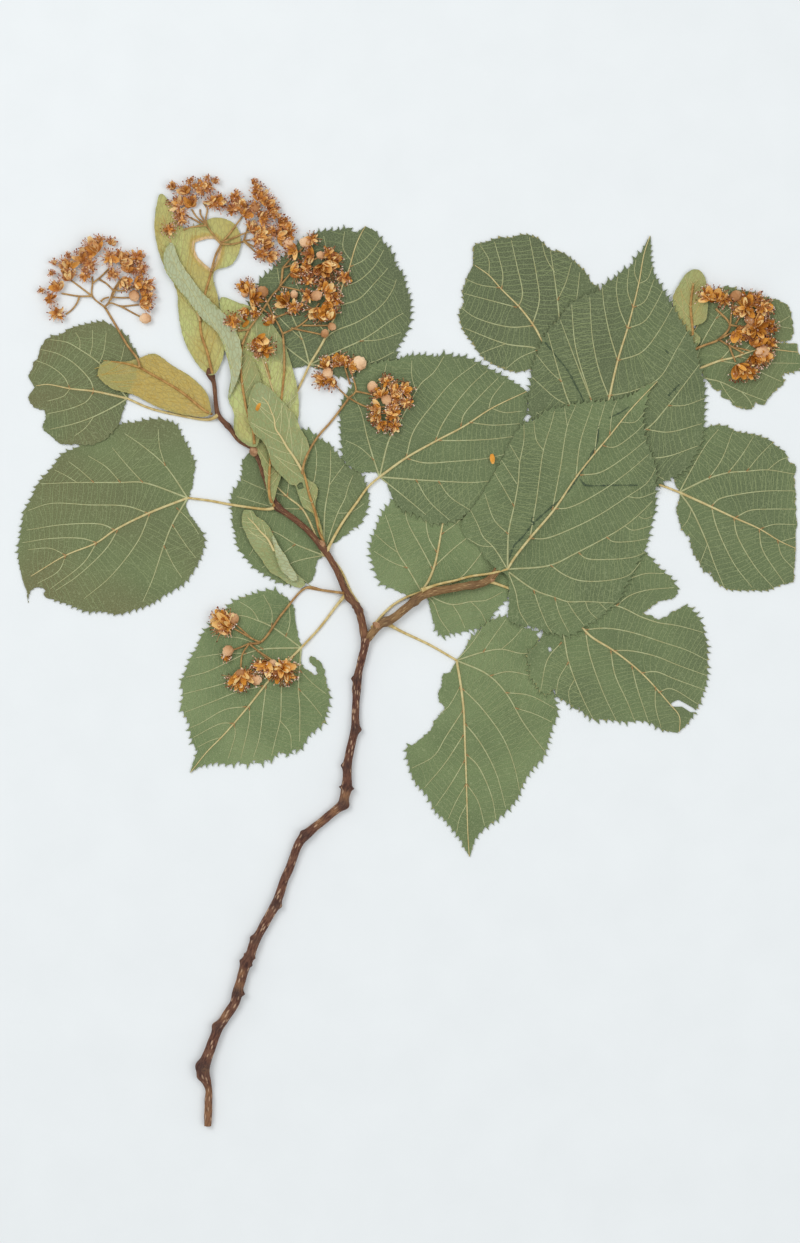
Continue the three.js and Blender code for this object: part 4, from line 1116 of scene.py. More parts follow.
# %% Leaf 12
make_leaf(
    "leaf_12", 18, start=1.9, deep=0.42, teeth=0.5, rim=0.9,
    petiole="61.5,59.5 68,59.5 78,60.5 88,60 96.5,57",
    margin="""94,63 96.5,68 101,74.5 105.5,79.5 107.5,80.5 109.5,81 113.5,80.5 117.5,78.5 121.5,78
    125.5,77 129,75.5 131,73.5 133.5,72 135,70 135.5,68 138,66.5 137.5,63 138,57 138,51.5 138.5,46.5
    138,42 138,35.5 137.5,28.5 137.5,25.5 135,24.5 131.5,23.5 128,22 124,22 121,22 117.5,22 113.5,22.5
    110.5,24.5 108,27 108,28.5 105.5,28.5 104,31.5 102,34.5 100.5,38.5 100.5,40.5 97.5,43.5 96.5,47
    95.5,50.5 96,53.5 96.5,57""",
    plain="95.5,58,10 138,65,4.5 139,54.5,6.5 139,40,7 138,28.5,5.5",
    midrib="96.5,57 107.5,52 116,48 125,44 132.5,39.5 138,37",
    main="""96.5,57 107,62 114,64 120.5,64.5 128,65 137.5,63.5 / 96.5,57 101,65.5 106,74 110.5,79.5 /
    96.5,57 100.5,51.5 103.5,45.5 106.5,38.5 109,31.5 112.5,23""",
    side="""108,52 110.5,54.5 119,56.5 128,57.5 138,57.5 / 116.5,48 121.5,50.5 128,51 138,51 / 125.5,44
    130,45.5 138,45.5 / 133,39.5 138,41 / 108,52 109.5,45.5 116,31.5 122.5,23 / 116,48 117,42 123.5,30.5
    130,23 / 125,44 126,37 134,24.5 / 131.5,40 133,34.5 137.5,29.5 / 107,62 111.5,68.5 115.5,78.5 /
    114,64 119,70.5 123,77 / 120.5,64.5 125.5,70.5 129.5,74.5 / 128,65 132.5,68.5 135.5,69.5 / 101,51.5
    99.5,47 97.5,44.5 / 106.5,38.5 105,34.5 104,32""",
)

# %% Leaf 14
make_leaf(
    "leaf_14", 19, start=2.2, age=0.03, deep=-0.15, rim=0.7,
    petiole="-7.5,10 -3,7.5 7.5,2.5 17,-3",
    margin="""17,-3 19.5,0.5 22,5 25.5,8 28,10.5 30,11.5 32.5,12.5 35.5,12.5 38,10.5 42,8.5 45.5,7 46,4.5
    49.5,-4.5 52,-16.5 53,-22 51,-27 50,-30.5 48,-37.5 44.5,-41 41,-46.5 39,-51.5 35.5,-56 31,-60
    27.5,-62.5 24,-66 23,-68.5 22,-71.5 21.5,-74 20,-70.5 18.5,-67 15,-62.5 12,-59 9.5,-57 7,-52 4.5,-49
    2,-46 0.5,-42.5 -0.5,-38 -1,-35.5 -0.5,-33.5 1.5,-33 4.5,-30.5 8,-27.5 8.5,-25.5 11,-22 13,-20.5
    11,-18 10.5,-15.5 11.5,-12 12,-8 14.5,-7""",
    plain="16,-3.5,8 11,-21.5,5.5 13,-10,5.5 5.5,-30.5,5",
    midrib="17,-3 18.5,-12 19.5,-20.5 20,-33 20.5,-47 21,-64.5 21.5,-73",
    main="""17,-3 28,-8 34.5,-14.5 41,-25.5 48.5,-35.5 / 17,-3 26.5,0 33,1 40,-0.5 47,0 / 17,-3 22,2.5
    25.5,7.5""",
    side="""18.5,-12 14,-19.5 11,-22 / 19.5,-20.5 13,-30.5 9,-37 1,-41.5 / 19.5,-29.5 13,-39.5 5.5,-48.5
    / 20,-38.5 15,-47 9.5,-55 / 20.5,-47 17,-53 14,-59.5 / 20.5,-54.5 18,-59.5 17,-64.5 / 19,-13
    25.5,-19.5 33.5,-30.5 37.5,-40.5 39.5,-49.5 / 20,-25.5 25.5,-32.5 31,-43 34.5,-55.5 / 20.5,-36.5
    24.5,-40.5 29.5,-51.5 31,-59.5 / 20.5,-47 24.5,-53 27,-62 / 29,-8.5 35.5,-7 49,-10 / 34.5,-14.5
    43,-15.5 52,-20 / 38,-20 44.5,-22 51,-25 / 26.5,0 29.5,4.5 34.5,11.5 / 33,1 37,4.5 40.5,8.5""",
    shades="20,-47,15,0.22 42,-25,11,0.3",
)

# %% Leaf 13
make_leaf(
    "leaf_13", 20, start=2.6, age=0.02, deep=0.24, rim=0.8,
    petiole="28,25.5 35,23 43,20 51,18",
    margin="""51,18 56,25 68,30.5 84.5,35 88,31.5 90.5,29 93.5,26.5 96,22 95,19.5 89.5,18 86,15.5 83.5,14
    86.5,13 89,11.5 94.5,14.5 99,16.5 102.5,13.5 104.5,10.5 105.5,6.5 106.5,1.5 106.5,-3 106.5,-8
    106,-11.5 105,-14.5 104,-17.5 102.5,-20.5 101.5,-22.5 99,-26 96.5,-29.5 95,-28 91,-28 89,-27
    86.5,-25.5 82,-24.5 78,-25 73,-24.5 69,-24 67,-24.5 64,-23 62,-21.5 60.5,-19.5 59.5,-20.5 56.5,-18
    53,-16 51.5,-13 50,-15 47.5,-14.5 44.5,-10.5 43,-8 43,-4.5 42,-1.5 44.5,2 47.5,5.5 47.5,12""",
    plain="48.5,15,13 89,15.5,8",
    midrib="51,18 62,8.5 65,5.5 73,0.5 83,-7.5 93,-18.5 96.5,-23 96.5,-28.5",
    main="""51,18 55,6.5 57,-3.5 62,-16.5 65.5,-23.5 / 51,18 74,16.5 83,12.5 89,10.5 95.5,9.5 105,7 /
    51,18 65.5,22 79.5,26.5 84.5,28 91,28""",
    side="""63,8 70.5,8.5 79.5,7 90.5,3.5 99.5,0.5 106.5,-3 / 73,0.5 78.5,0.5 88,-1.5 95.5,-4.5
    106.5,-8.5 / 83,-7.5 88,-7 94.5,-9.5 105.5,-13.5 / 89,-14.5 93,-13 103,-18.5 / 63,7.5 64.5,-1
    69.5,-15 74,-24.5 / 72,0.5 73.5,-8 78,-18 80.5,-24.5 / 79.5,-5 81.5,-13 85.5,-25 / 88,-12.5 88,-19.5
    90,-27 / 54.5,3.5 49.5,-2.5 47,-13.5 / 57,-3.5 53.5,-9.5 52.5,-15 / 59,-10 57,-14 57.5,-18.5 /
    74,16.5 78.5,20 84.5,22 94.5,23""",
    holes="""49.5,1.5 50.5,2 51,0.5 50,0 / 92.5,-19.5 94,-18 96,-17 98,-18 101.5,-20 103,-21.5
    100.5,-21.5 97.5,-19.5 94.5,-19.5""",
    shades="97,-4,15,0.2",
)

# %% Leaf 1
make_leaf(
    "leaf_1", 21, start=1.6, age=0.75, deep=0.42, teeth=0.6,
    petiole="-68,84.5 -71,83 -82,84.5 -92.5,87 -100.5,90.5",
    margin="""-96.5,105.5 -99,109.5 -100.5,112.5 -103.5,115 -106,116.5 -109,118 -113,117.5 -117.5,116.5
    -121,115.5 -124,113.5 -128,112.5 -130.5,110.5 -132,107.5 -133,104 -134,103.5 -134.5,101 -136,98.5
    -135.5,96.5 -133.5,94 -135.5,93.5 -136,91 -135,88.5 -133,87 -130,86 -130,82.5 -131,80.5 -129,78
    -126,75.5 -123,74 -118,74 -113,74 -109,75.5 -106,78.5 -103.5,81.5 -102.5,84.5 -101,88.5 -100.5,90.5
    -97.5,97""",
    plain="-130,93.5,17 -119,75.5,10.5 -99,93.5,12",
    midrib="-100.5,90.5 -112,93 -121,94 -129,95.5 -133,95",
    main="""-100.5,90.5 -110.5,103 -117.5,108 -122,110.5 -128,111.5 / -100.5,90.5 -104.5,88 -112.5,84
    -119.5,81.5 -128,79.5""",
    side="""-112.5,93 -113.5,96.5 -119.5,103 -125.5,106.5 -131.5,108 / -121,94 -123,98 -128,102 -133,104
    / -112.5,93 -115,89.5 -120.5,87 -129,85 / -121,94 -123,91.5 -129,89.5 / -106,97.5 -103,103.5
    -101.5,109.5 / -110.5,103 -109,107 -108,114 / -114,105.5 -113,109.5 -113,115 / -117.5,108
    -117.5,111.5 -119,114 / -112.5,84 -115.5,80 -119.5,77""",
)

# %% Leaf 6
make_leaf(
    "leaf_6", 22, start=2.4, deep=0.42,
    petiole="-29.5,35.5 -27,40.5 -23.5,46.5 -18.5,53.5 -14.5,59 -10.5,62.5",
    margin="""-12,64 -18,64 -20,65.5 -23,68 -24,73 -24.5,82 -24.5,86.5 -23,91.5 -20.5,94.5 -19.5,96.5
    -18,100.5 -15,102.5 -11.5,103 -8,104 -4.5,104 -1.5,105.5 2.5,106 6,106 10,105.5 13,106.5 16,105.5
    19.5,105.5 23,104 25.5,103 28,101.5 31.5,99.5 34,98.5 37,96.5 40.5,94.5 43,93.5 42,90.5 42,86.5 41,83
    39.5,75.5 32.5,59.5 26,52 20,49 18,47.5 14.5,46.5 11.5,46 8,46 4.5,48 1.5,49.5 -2,50.5 -4,52.5
    -5.5,54.5 -7,58 -9,61.5""",
    plain="-11,62.5,9.5",
    midrib="-10.5,62.5 -1.5,69 10,75.5 19.5,80.5 29.5,87 42,93",
    main="""-10.5,62.5 2,61.5 10.5,61 23,60.5 28.5,61 / -10.5,62.5 -3,56.5 2.5,52 6,49 / -10.5,62.5
    -12.5,68.5 -15,77 -17,85.5 -20.5,93 / -10.5,62.5 -7,76 -4.5,80 2.5,93 4.5,96 9,100 12.5,105.5""",
    side="""-1,69.5 1.5,78.5 9,89 15.5,96.5 24,103 / 9.5,75.5 11.5,80.5 17,89 22.5,95.5 28,100.5 /
    18.5,80.5 19.5,84.5 25.5,91.5 32,98 / 28.5,87 29.5,90.5 34,96.5 / -0.5,69 5.5,67.5 15.5,68 27,69
    34,70.5 / 10.5,75.5 19.5,75.5 29.5,76 38,77 / 21.5,82 29.5,81 39.5,81.5 / 29.5,87 34,85.5 40.5,86 /
    2.5,61.5 7,54 14.5,47 / 10.5,61 14.5,55.5 22,50.5 / -4.5,80 -7.5,88.5 -9,97 -8,103 / 2.5,93 1,98.5
    1,104 / -12.5,68.5 -17.5,73 -22.5,75.5 / -6.5,77 -12,87 -14,97""",
)

# %% [markdown]
# ## The stems
# The branch is woody: old grey-brown bark below the fork, redder bark on the leader and a
# paler side shoot. A bevelled curve would give plain round tubes. Instead a flat grid is
# rolled into a tube along each stem, with its seam underneath, so it brings its own
# coordinates for bark that runs along the wood, and scars and swollen nodes can raise it.

# %% Rolled tubes
TUBE_SIDES = 32
BARK_RADIUS = 1.6  # the stems are about this thick, so U counts millimetres round them
UNEVEN = 0.014  # how far each wave moves the skin, as a share of the radius


def stem_tube(line, rings, chance):
    """A tube along rows of x, y, z and radius. Each ring is (share of the length, height,
    width, angle it faces); with None for the angle it goes all round."""
    s = run(line[:, :3])
    bm = bmesh.new()
    bm.loops.layers.uv.new("bark")
    bmesh.ops.create_grid(bm, x_segments=TUBE_SIDES, y_segments=len(line) - 1, size=0.5,
                          calc_uvs=True)
    uv = bm.loops.layers.uv.active
    tangent = np.gradient(line[:, :3], axis=0)
    tangent /= norm(tangent, axis=1)[:, None]
    aside = np.column_stack([tangent[:, 1], -tangent[:, 0], np.zeros(len(line))])
    aside /= norm(aside, axis=1)[:, None]
    upward = np.cross(aside, tangent)
    waves = [(chance.randint(2, 7), chance.uniform(0.2, 1.6), chance.uniform(0, 6)) for _ in range(9)]
    for face in bm.faces:
        for loop in face.loops:
            k = round((loop.vert.co.y + 0.5) * (len(line) - 1))
            loop[uv].uv = ((loop.vert.co.x + 0.5) * math.tau * BARK_RADIUS, s[k])
    for v in bm.verts:
        angle = math.tau * (v.co.x + 0.5) - math.pi / 2
        k = round((v.co.y + 0.5) * (len(line) - 1))
        swing = sum(math.sin(n * angle + pace * s[k] + phase) for n, pace, phase in waves)
        r = line[k, 3] * (1 + swing * UNEVEN)
        for place, height, width, facing in rings:
            swell = height * math.exp(-((s[k] - place * s[-1]) / width) ** 2)
            r += swell if facing is None else swell * max(0, math.cos(angle - facing)) ** 3
        out = aside[k] * math.cos(angle) + upward[k] * math.sin(angle)
        v.co = Vector(line[k, :3] + out * r)
        v.co.z = max(v.co.z, 0)  # pressed flat where it meets the floor
    bmesh.ops.remove_doubles(bm, verts=bm.verts[:], dist=1e-4)
    bmesh.ops.holes_fill(bm, edges=[e for e in bm.edges if e.is_boundary], sides=TUBE_SIDES + 2)
    bmesh.ops.recalc_face_normals(bm, faces=bm.faces[:])
    return take(bm)


def bud(place, size, way):
    """A small pointed bud, lying along a direction in the plan."""
    bm = bmesh.new()
    bmesh.ops.create_icosphere(bm, subdivisions=2, radius=1)
    turn = math.atan2(way[1], way[0])
    for v in bm.verts:
        taper = 1 - 0.45 * max(0, v.co.x)
        x, y, z = v.co.x * 1.35, v.co.y * taper, v.co.z * taper
        v.co = Vector((x * math.cos(turn) - y * math.sin(turn),
                       x * math.sin(turn) + y * math.cos(turn), z)) * size + Vector(place)
    return take(bm)


print("tubes have", TUBE_SIDES, "sides")


# %% Stem maker
BARK, SCALE = range(2)


def make_stem(name, bark, seed, stations, rings, buds=(), bare=""):
    """Each bud is (place, size, direction, finish number). Bare gives circles of worn skin."""
    line = smooth(path(stations), 0.4)
    core = line[:, :3]
    parts = [(stem_tube(line, rings, random.Random(seed)), BARK)]
    parts += [(bud(place, size, way), number) for place, size, way, number in buds]
    stem = piece(name + "_bark", parts, [bark, BUD_SCALE], name)
    bury(core, line[:, 3])
    spot = spots(stem)
    worn, knot = np.zeros(len(spot)), np.zeros(len(spot))
    for x, y, r in path(bare):
        worn = np.maximum(worn, np.clip(1.1 - away(spot, x, y) / r, 0, 0.85))
    tell(stem, "bare", worn)
    for place, height, width, _ in rings:
        x, y, _ = at(core, place * run(core)[-1])
        share = np.exp(-((away(spot, x, y) / (1.2 + width)) ** 2))
        knot = np.maximum(knot, min(1, height) * share)
    tell(stem, "knot", knot)


print("stem finishes: bark and bud scale")

# %% Main stem
make_stem(
    "main_stem", OLD_BARK, 31,
    stations="""-71.8,-169,1.33,1.28 -71.6,-164.2,1.43,1.38 -71.51,-159.88,1.42,1.37
    -71.42,-156.36,1.25,1.2 -72.01,-153.47,1.67,1.62 -73.1,-150.69,2.13,2.08 -73.2,-147.82,2.23,2.18
    -72.09,-144.72,1.96,1.91 -70.54,-140.47,1.85,1.8 -69.14,-136.91,1.75,1.7 -67.95,-133.79,1.79,1.74
    -65.99,-131.04,1.68,1.63 -63.64,-127.47,1.75,1.7 -62.11,-124.99,1.75,1.7 -61.23,-121.32,1.82,1.77
    -60.01,-117.25,1.75,1.7 -58.92,-113.52,1.82,1.77 -58.01,-110.78,2.03,1.98 -56.81,-108.32,1.82,1.77
    -55.57,-104.79,1.78,1.73 -54.51,-102.32,1.73,1.68 -52.68,-99.14,1.59,1.54 -50.66,-95.57,1.62,1.57
    -49,-92.44,1.66,1.61 -47.47,-89.69,1.75,1.7 -46.34,-86.93,1.68,1.63 -44.6,-81.61,1.55,1.5
    -42.43,-76.6,1.53,1.48 -40.58,-71.36,1.53,1.48 -38.82,-67.47,1.65,1.6 -36.95,-65.35,1.83,1.78
    -34.02,-62.81,1.6,1.55 -29.24,-58.95,1.53,1.48 -25.81,-56.06,1.61,1.56 -23.72,-54.19,1.84,1.79
    -22.93,-51.36,1.8,1.75 -22.36,-48.59,1.93,1.88 -21.99,-44.3,1.65,1.6 -21.99,-40.7,1.65,1.6
    -21.03,-35.01,1.53,1.48 -20.01,-30.71,1.49,1.44 -19.2,-27.5,1.59,1.54 -19.13,-22.49,1.42,1.37
    -18.85,-17.1,1.4,1.35 -18.58,-13.62,1.56,1.45 -18.4,-9.6,1.69,1.52 -17.7,-5.7,1.55,1.32
    -16.8,-2.1,1.67,1.39 -15.9,1.4,1.76,1.42 -15.4,5,2.13,1.73""",
    rings=[(0.114, 1.0, 1.5, math.pi), (0.098, 0.5, 1.0, math.pi), (0.193, 0.75, 1.2, math.pi),
           (0.269, 1.25, 1.1, 0.3), (0.326, 0.5, 0.6, None), (0.341, 0.45, 0.5, None),
           (0.374, 0.6, 0.9, math.pi), (0.451, 0.85, 1.0, 0.3), (0.592, 0.7, 1.0, 2.6),
           (0.684, 0.8, 1.0, -0.3), (0.715, 0.5, 0.5, None), (0.715, 0.4, 0.4, None),
           (0.756, 0.75, 0.8, math.pi), (0.827, 0.85, 0.8, 0.3), (0.921, 0.8, 0.8, math.pi),
           (0.901, 0.3, 1.5, math.pi)],
    bare="""-72,-168,3.5 -72,-163,4.5 -72,-157,3 -72.5,-148.5,1.5 -61,-119,3 -60,-114,2 -66.5,-129,3
    -22.5,-51.5,3 -26.5,-56.5,2.5 -32,-60.5,2.5""",
)

# %% Leader
make_stem(
    "leader", YOUNG_BARK, 32,
    stations="""-15.5,3.5,1.9,1.46 -18,15,2.2,1.33 -22,20.5,2.15,1.16 -26,29.5,2,1.07 -29.5,35.5,2.1,1.16
    -34,41,2,1.03 -38.5,45.5,2,1.03 -44.5,50,2,1.07 -47,52,2,1.16 -51.5,62.5,1.8,0.95 -55,72,1.8,0.99
    -60.5,75.5,1.7,0.86 -64.5,80.5,1.5,0.82 -68,84.5,1.4,0.9 -69,90,1.2,0.73 -69.5,95.5,1.15,0.77
    -70.5,98.5,1.2,0.86""",
    rings=[(0.1, 0.35, 0.8, None), (0.12, 0.3, 0.5, None), (0.155, 0.3, 1.4, None),
           (0.335, 0.3, 1.2, None), (0.52, 0.35, 1.3, None), (0.69, 0.35, 1.2, None),
           (0.83, 0.35, 1.1, None), (1.0, 0.5, 1.2, None)],
    buds=[((-31, 38.5, 2.4), 1.3, (-0.5, 1), SCALE), ((-55.3, 71.8, 3.0), 1.7, (-0.2, 1), SCALE),
          ((-71, 99.5, 1.7), 1.5, (-0.3, 1), BARK)],
)

# %% Side shoot
make_stem(
    "side_shoot", SHOOT_BARK, 33,
    stations="""-15.5,4,1.9,1.43 -10,10,2.4,1.43 -6.5,11.5,2.5,1.51 0.5,17,2.5,1.43 5.5,20.5,2.6,1.55
    17,23,2.4,1.34 28,25.5,2.4,1.34 36,36,2.2,1.18 44.5,44,2,1.09 53,52.5,1.9,1.01 61,60,1.8,0.92
    64,67,1.7,0.8 67,74.5,1.6,0.71""",
    rings=[(0.09, 0.35, 1.5, None), (0.2, 0.4, 1.4, None), (0.39, 0.3, 1.3, None)],
    buds=[((-11.5, 9.6, 3.0), 1.3, (-1, 0.6), SCALE), ((29.3, 25.8, 2.6), 1.1, (1, 0.1), SCALE)],
)

# %% [markdown]
# ## Bracts
# Each flower stalk is fused to a strap-shaped bract as thin as paper, with a wavy edge and a
# close net of veins. Bracts are made as the leaves are, with smooth margins and rims that
# curl up more. A UV map that runs along the rib lets the net follow the strap, which Object
# coordinates wouldn't do, because every strap points another way.

# %% Side veins of a bract
SHORTEST_SIDE, LONGEST_SIDE = 1.5, 20


def feather(rib, ring, chance):
    """Side veins that leave a rib on both sides and bend towards its end."""
    walls = np.stack([ring[:-1], ring[1:]], axis=1)
    walls = walls[norm(walls[:, 1] - walls[:, 0], axis=1) < 3]  # not the jump between two folds
    place = 2.0
    while place < run(rib)[-1]:
        spot = at(rib, place)
        way = at(rib, place + 1) - spot
        way = way / max(norm(way), 1e-6)
        place += chance.uniform(2.8, 5)
        for turn in (-1, 1):
            out = way * 0.75 + np.array([-way[1], way[0]]) * turn * chance.uniform(0.5, 0.8)
            reach = hit(spot[None], out[None], walls, 25)[0] * chance.uniform(0.75, 0.92)
            if SHORTEST_SIDE < reach < LONGEST_SIDE:
                t = np.linspace(0, 1, max(3, round(reach / 1.5)))[:, None]
                yield spot + out * t * reach + way * t * t * reach * chance.uniform(0.1, 0.35)


def strap_map(obj, origin, way):
    """A UV map in millimetres, with U along a direction in the plan."""
    strap = (spots(obj) - origin) @ np.array([way, (-way[1], way[0])]).T
    uv = obj.data.uv_layers.get("strap") or obj.data.uv_layers.new(name="strap")
    corners = np.empty(len(obj.data.loops), int)
    obj.data.loops.foreach_get("vertex_index", corners)
    uv.data.foreach_set("uv", strap[corners].ravel())
    obj.data.uv_layers.active = uv
    uv.active_render = True


print("side veins reach at most", LONGEST_SIDE, "mm")


# %% Bract maker
BRACT_PITCH = 1.0
BARE_FLOOR = 0.3  # a pile lower than this is floor, which shines through a bract


def pressed_strand(line, radii):
    """A stalk or rib, sunk a little in what it lies on."""
    laid = lay(line, radii, gap=-0.25)
    laid[:, 2] = np.maximum(laid[:, 2], radii)
    bury(laid, radii)
    return laid, radii


def make_bract(name, seed, ages, margins, rib, thin="", faint="", light=1.0, dry=0.0, holes="",
               dead_rim=False):
    """Margins has one line for each fold, with its own age. The rib is the stalk's stretch on
    the bract, thin its ribs beyond, and faint its plain veins. Light is how much floor shows
    through, and dry browns the base."""
    global pile
    chance = random.Random(seed)
    holes, rib = paths(holes), drawn(path(rib))
    parts, rings, stalk = [], [], []
    lit = np.zeros(pile.shape)
    for margin in paths(margins):
        ring = even(np.vstack([smooth(margin, 0.8, closed=True), margin[:1]]), 0.9)[:-1]
        shake = np.array([[chance.uniform(-0.12, 0.12) for _ in "xy"] for _ in ring])
        ring = anticlockwise(ring + shake)
        heights, core = drape(ring, gap=0.12, sag=0.03, swell=wave(seed, 14, 0.5), lift=0.75)
        parts.append((blade(ring, BRACT_PITCH, holes, heights), PAPER))
        # painted light: the cells where a bract lies on bare floor, which its finish paints paler
        lit = np.where(core, pile < BARE_FLOOR, lit)
        pile = np.where(core, heights + BLADE_THICK, pile)
        rings.append(ring)
        if len(rings) == 1:
            stalk.append(pressed_strand(rib, np.linspace(0.5, 0.42, len(rib))))
    thins = [drawn(line) for line in paths(thin)]
    ribs = [pressed_strand(line, np.linspace(0.52, 0.14, len(line))) for line in thins]
    sides = [line for stem in [rib, *thins] for line in feather(stem, np.vstack(rings), chance)]
    veins = []
    for line in sides + [drawn(line) for line in paths(faint)]:
        if not any(inside(hole, *line.T).any() for hole in holes):
            z = np.maximum(level(pile, *line.T) + 0.04, 0.12)
            veins.append((np.column_stack([line, z]), 0.12))
    parts += [(strands(stalk, 2), BRACT_STALK), (strands(ribs, 2), RIB), (strands(veins), BRACT_VEIN)]
    bract = piece(name + "_strap", parts, BRACT_FINISHES, name)
    strap_map(bract, rib[0], (rib[-1] - rib[0]) / norm(rib[-1] - rib[0]))
    spot = spots(bract)
    age = ages[0] + 0.35 * (level(wave(seed + 9, 16, 1), *spot.T) - 0.5)
    for ring, own in zip(rings[1:], ages[1:]):
        age[inside(ring, *spot.T)] += own - ages[0]
    age = age + dry * np.exp(-((away(spot, *rib[0]) / 14) ** 2))
    if dead_rim:
        edge = even(np.vstack([holes[0], holes[0][:1]]), 0.5)
        near = norm(spot[:, None] - edge[None], axis=2).min(axis=1)
        age = np.maximum(age, np.clip(1.75 - near / 1.8, -1, 1.5))
    tell(bract, "age", age)
    tell(bract, "light", level(lit, *spot.T) * light)
    tell(bract, "rim", on_margin(spot, np.vstack(rings)))


print("bract net pitch:", BRACT_PITCH, "mm")

# %% [markdown]
# ## The two top leaves
# Two leaves lie over the side shoot, and the shoot and some petioles show through them as
# soft ridges. They are made after the stems and the lowest bract, so that draping gives
# those ridges by itself; drawn ridges would have to be kept in step with the stems.

# %% Bract 7
make_bract(
    "bract_7", 21, [0.45], light=0.3,
    margins="""101.5,108 99,109.5 96,116.5 94,126 96.5,131.5 99.5,135.5 103,136.5 105.5,133.5 106.5,123.5
    105.5,118 100.5,115.5 104,112""",
    rib="67.5,76.5 70,84 79,93 91.5,101.5 99,108 101,111.5 100.5,123.5 101.5,131.5",
)

# %% Leaf 9
make_leaf(
    "leaf_9", 41, start=2.4, deep=0.58,
    petiole="66,72.5 67.5,73 69,74.5",
    margin="""86,149 86.5,139 87.5,135 90.5,129.5 93,125 96,119.5 99,114.5 101.5,110.5 103,105 104,100.5
    105.5,95 105.5,90.5 105.5,86 105,78.5 104,74 102,70.5 99,65.5 95.5,63 90.5,60.5 87.5,59 79,61.5
    72.5,68 69,73.5 61,73 52.5,77 47,81 44.5,83 43,84.5 42.5,90.5 43,93.5 43.5,98 44.5,103 47,109.5
    48.5,113 50.5,115.5 53.5,119 58,124.5 62.5,127 68,129 70,131.5 74,134 76,136 79.5,138 80.5,140.5
    83,143""",
    plain="68.5,73,10.5",
    midrib="69,74.5 71.5,90.5 74.5,104 78,115.5 80,123 82,131.5 84,142.5 86,148.5",
    main="""69,74.5 65,90 59.5,108.5 58,124 / 69,74.5 58,87.5 54.5,96.5 51.5,106.5 49.5,114 / 69,74.5
    84.5,79.5 92.5,88 99,96.5 103.5,102.5 / 69,74.5 79.5,70 90.5,69.5 103,73.5 / 69,74.5 56,79.5
    45.5,85.5""",
    side="""71.5,90.5 68,100 65.5,111.5 64.5,126.5 / 74.5,104 71.5,114 69.5,124 69,130 / 78,115.5 75,123
    74,130 74.5,134 / 80,123 78,129 78.5,137 / 82,131.5 80.5,135.5 81,140 / 71.5,91.5 79.5,93 89,97.5
    95.5,108 99,114 / 74.5,104 83,107 89.5,115 94,123 / 78,115.5 84,118 88,124 90.5,129 / 80,123 84,125
    87.5,133 / 82,131.5 85,133 87,138 / 84.5,79.5 92.5,78.5 104.5,81.5 / 92.5,88 98,88 105.5,90.5 /
    79.5,70 85.5,65 91,61.5 / 65,90 61,100 56,113 54,118.5 / 58,87.5 52.5,90.5 44,98 / 54.5,96.5 50.5,100
    45.5,106""",
    shades="59,112,16,0.25",
    # painted shade: dark strands along the folds over what lies below
    crease_shades="""48.5,110.5 52.5,105.5 56.5,100.5 59.5,95 62,90 63,84.5 / 96.5,95.5 92.5,91.5 / 91.5,108
    92.5,106.5""",
)

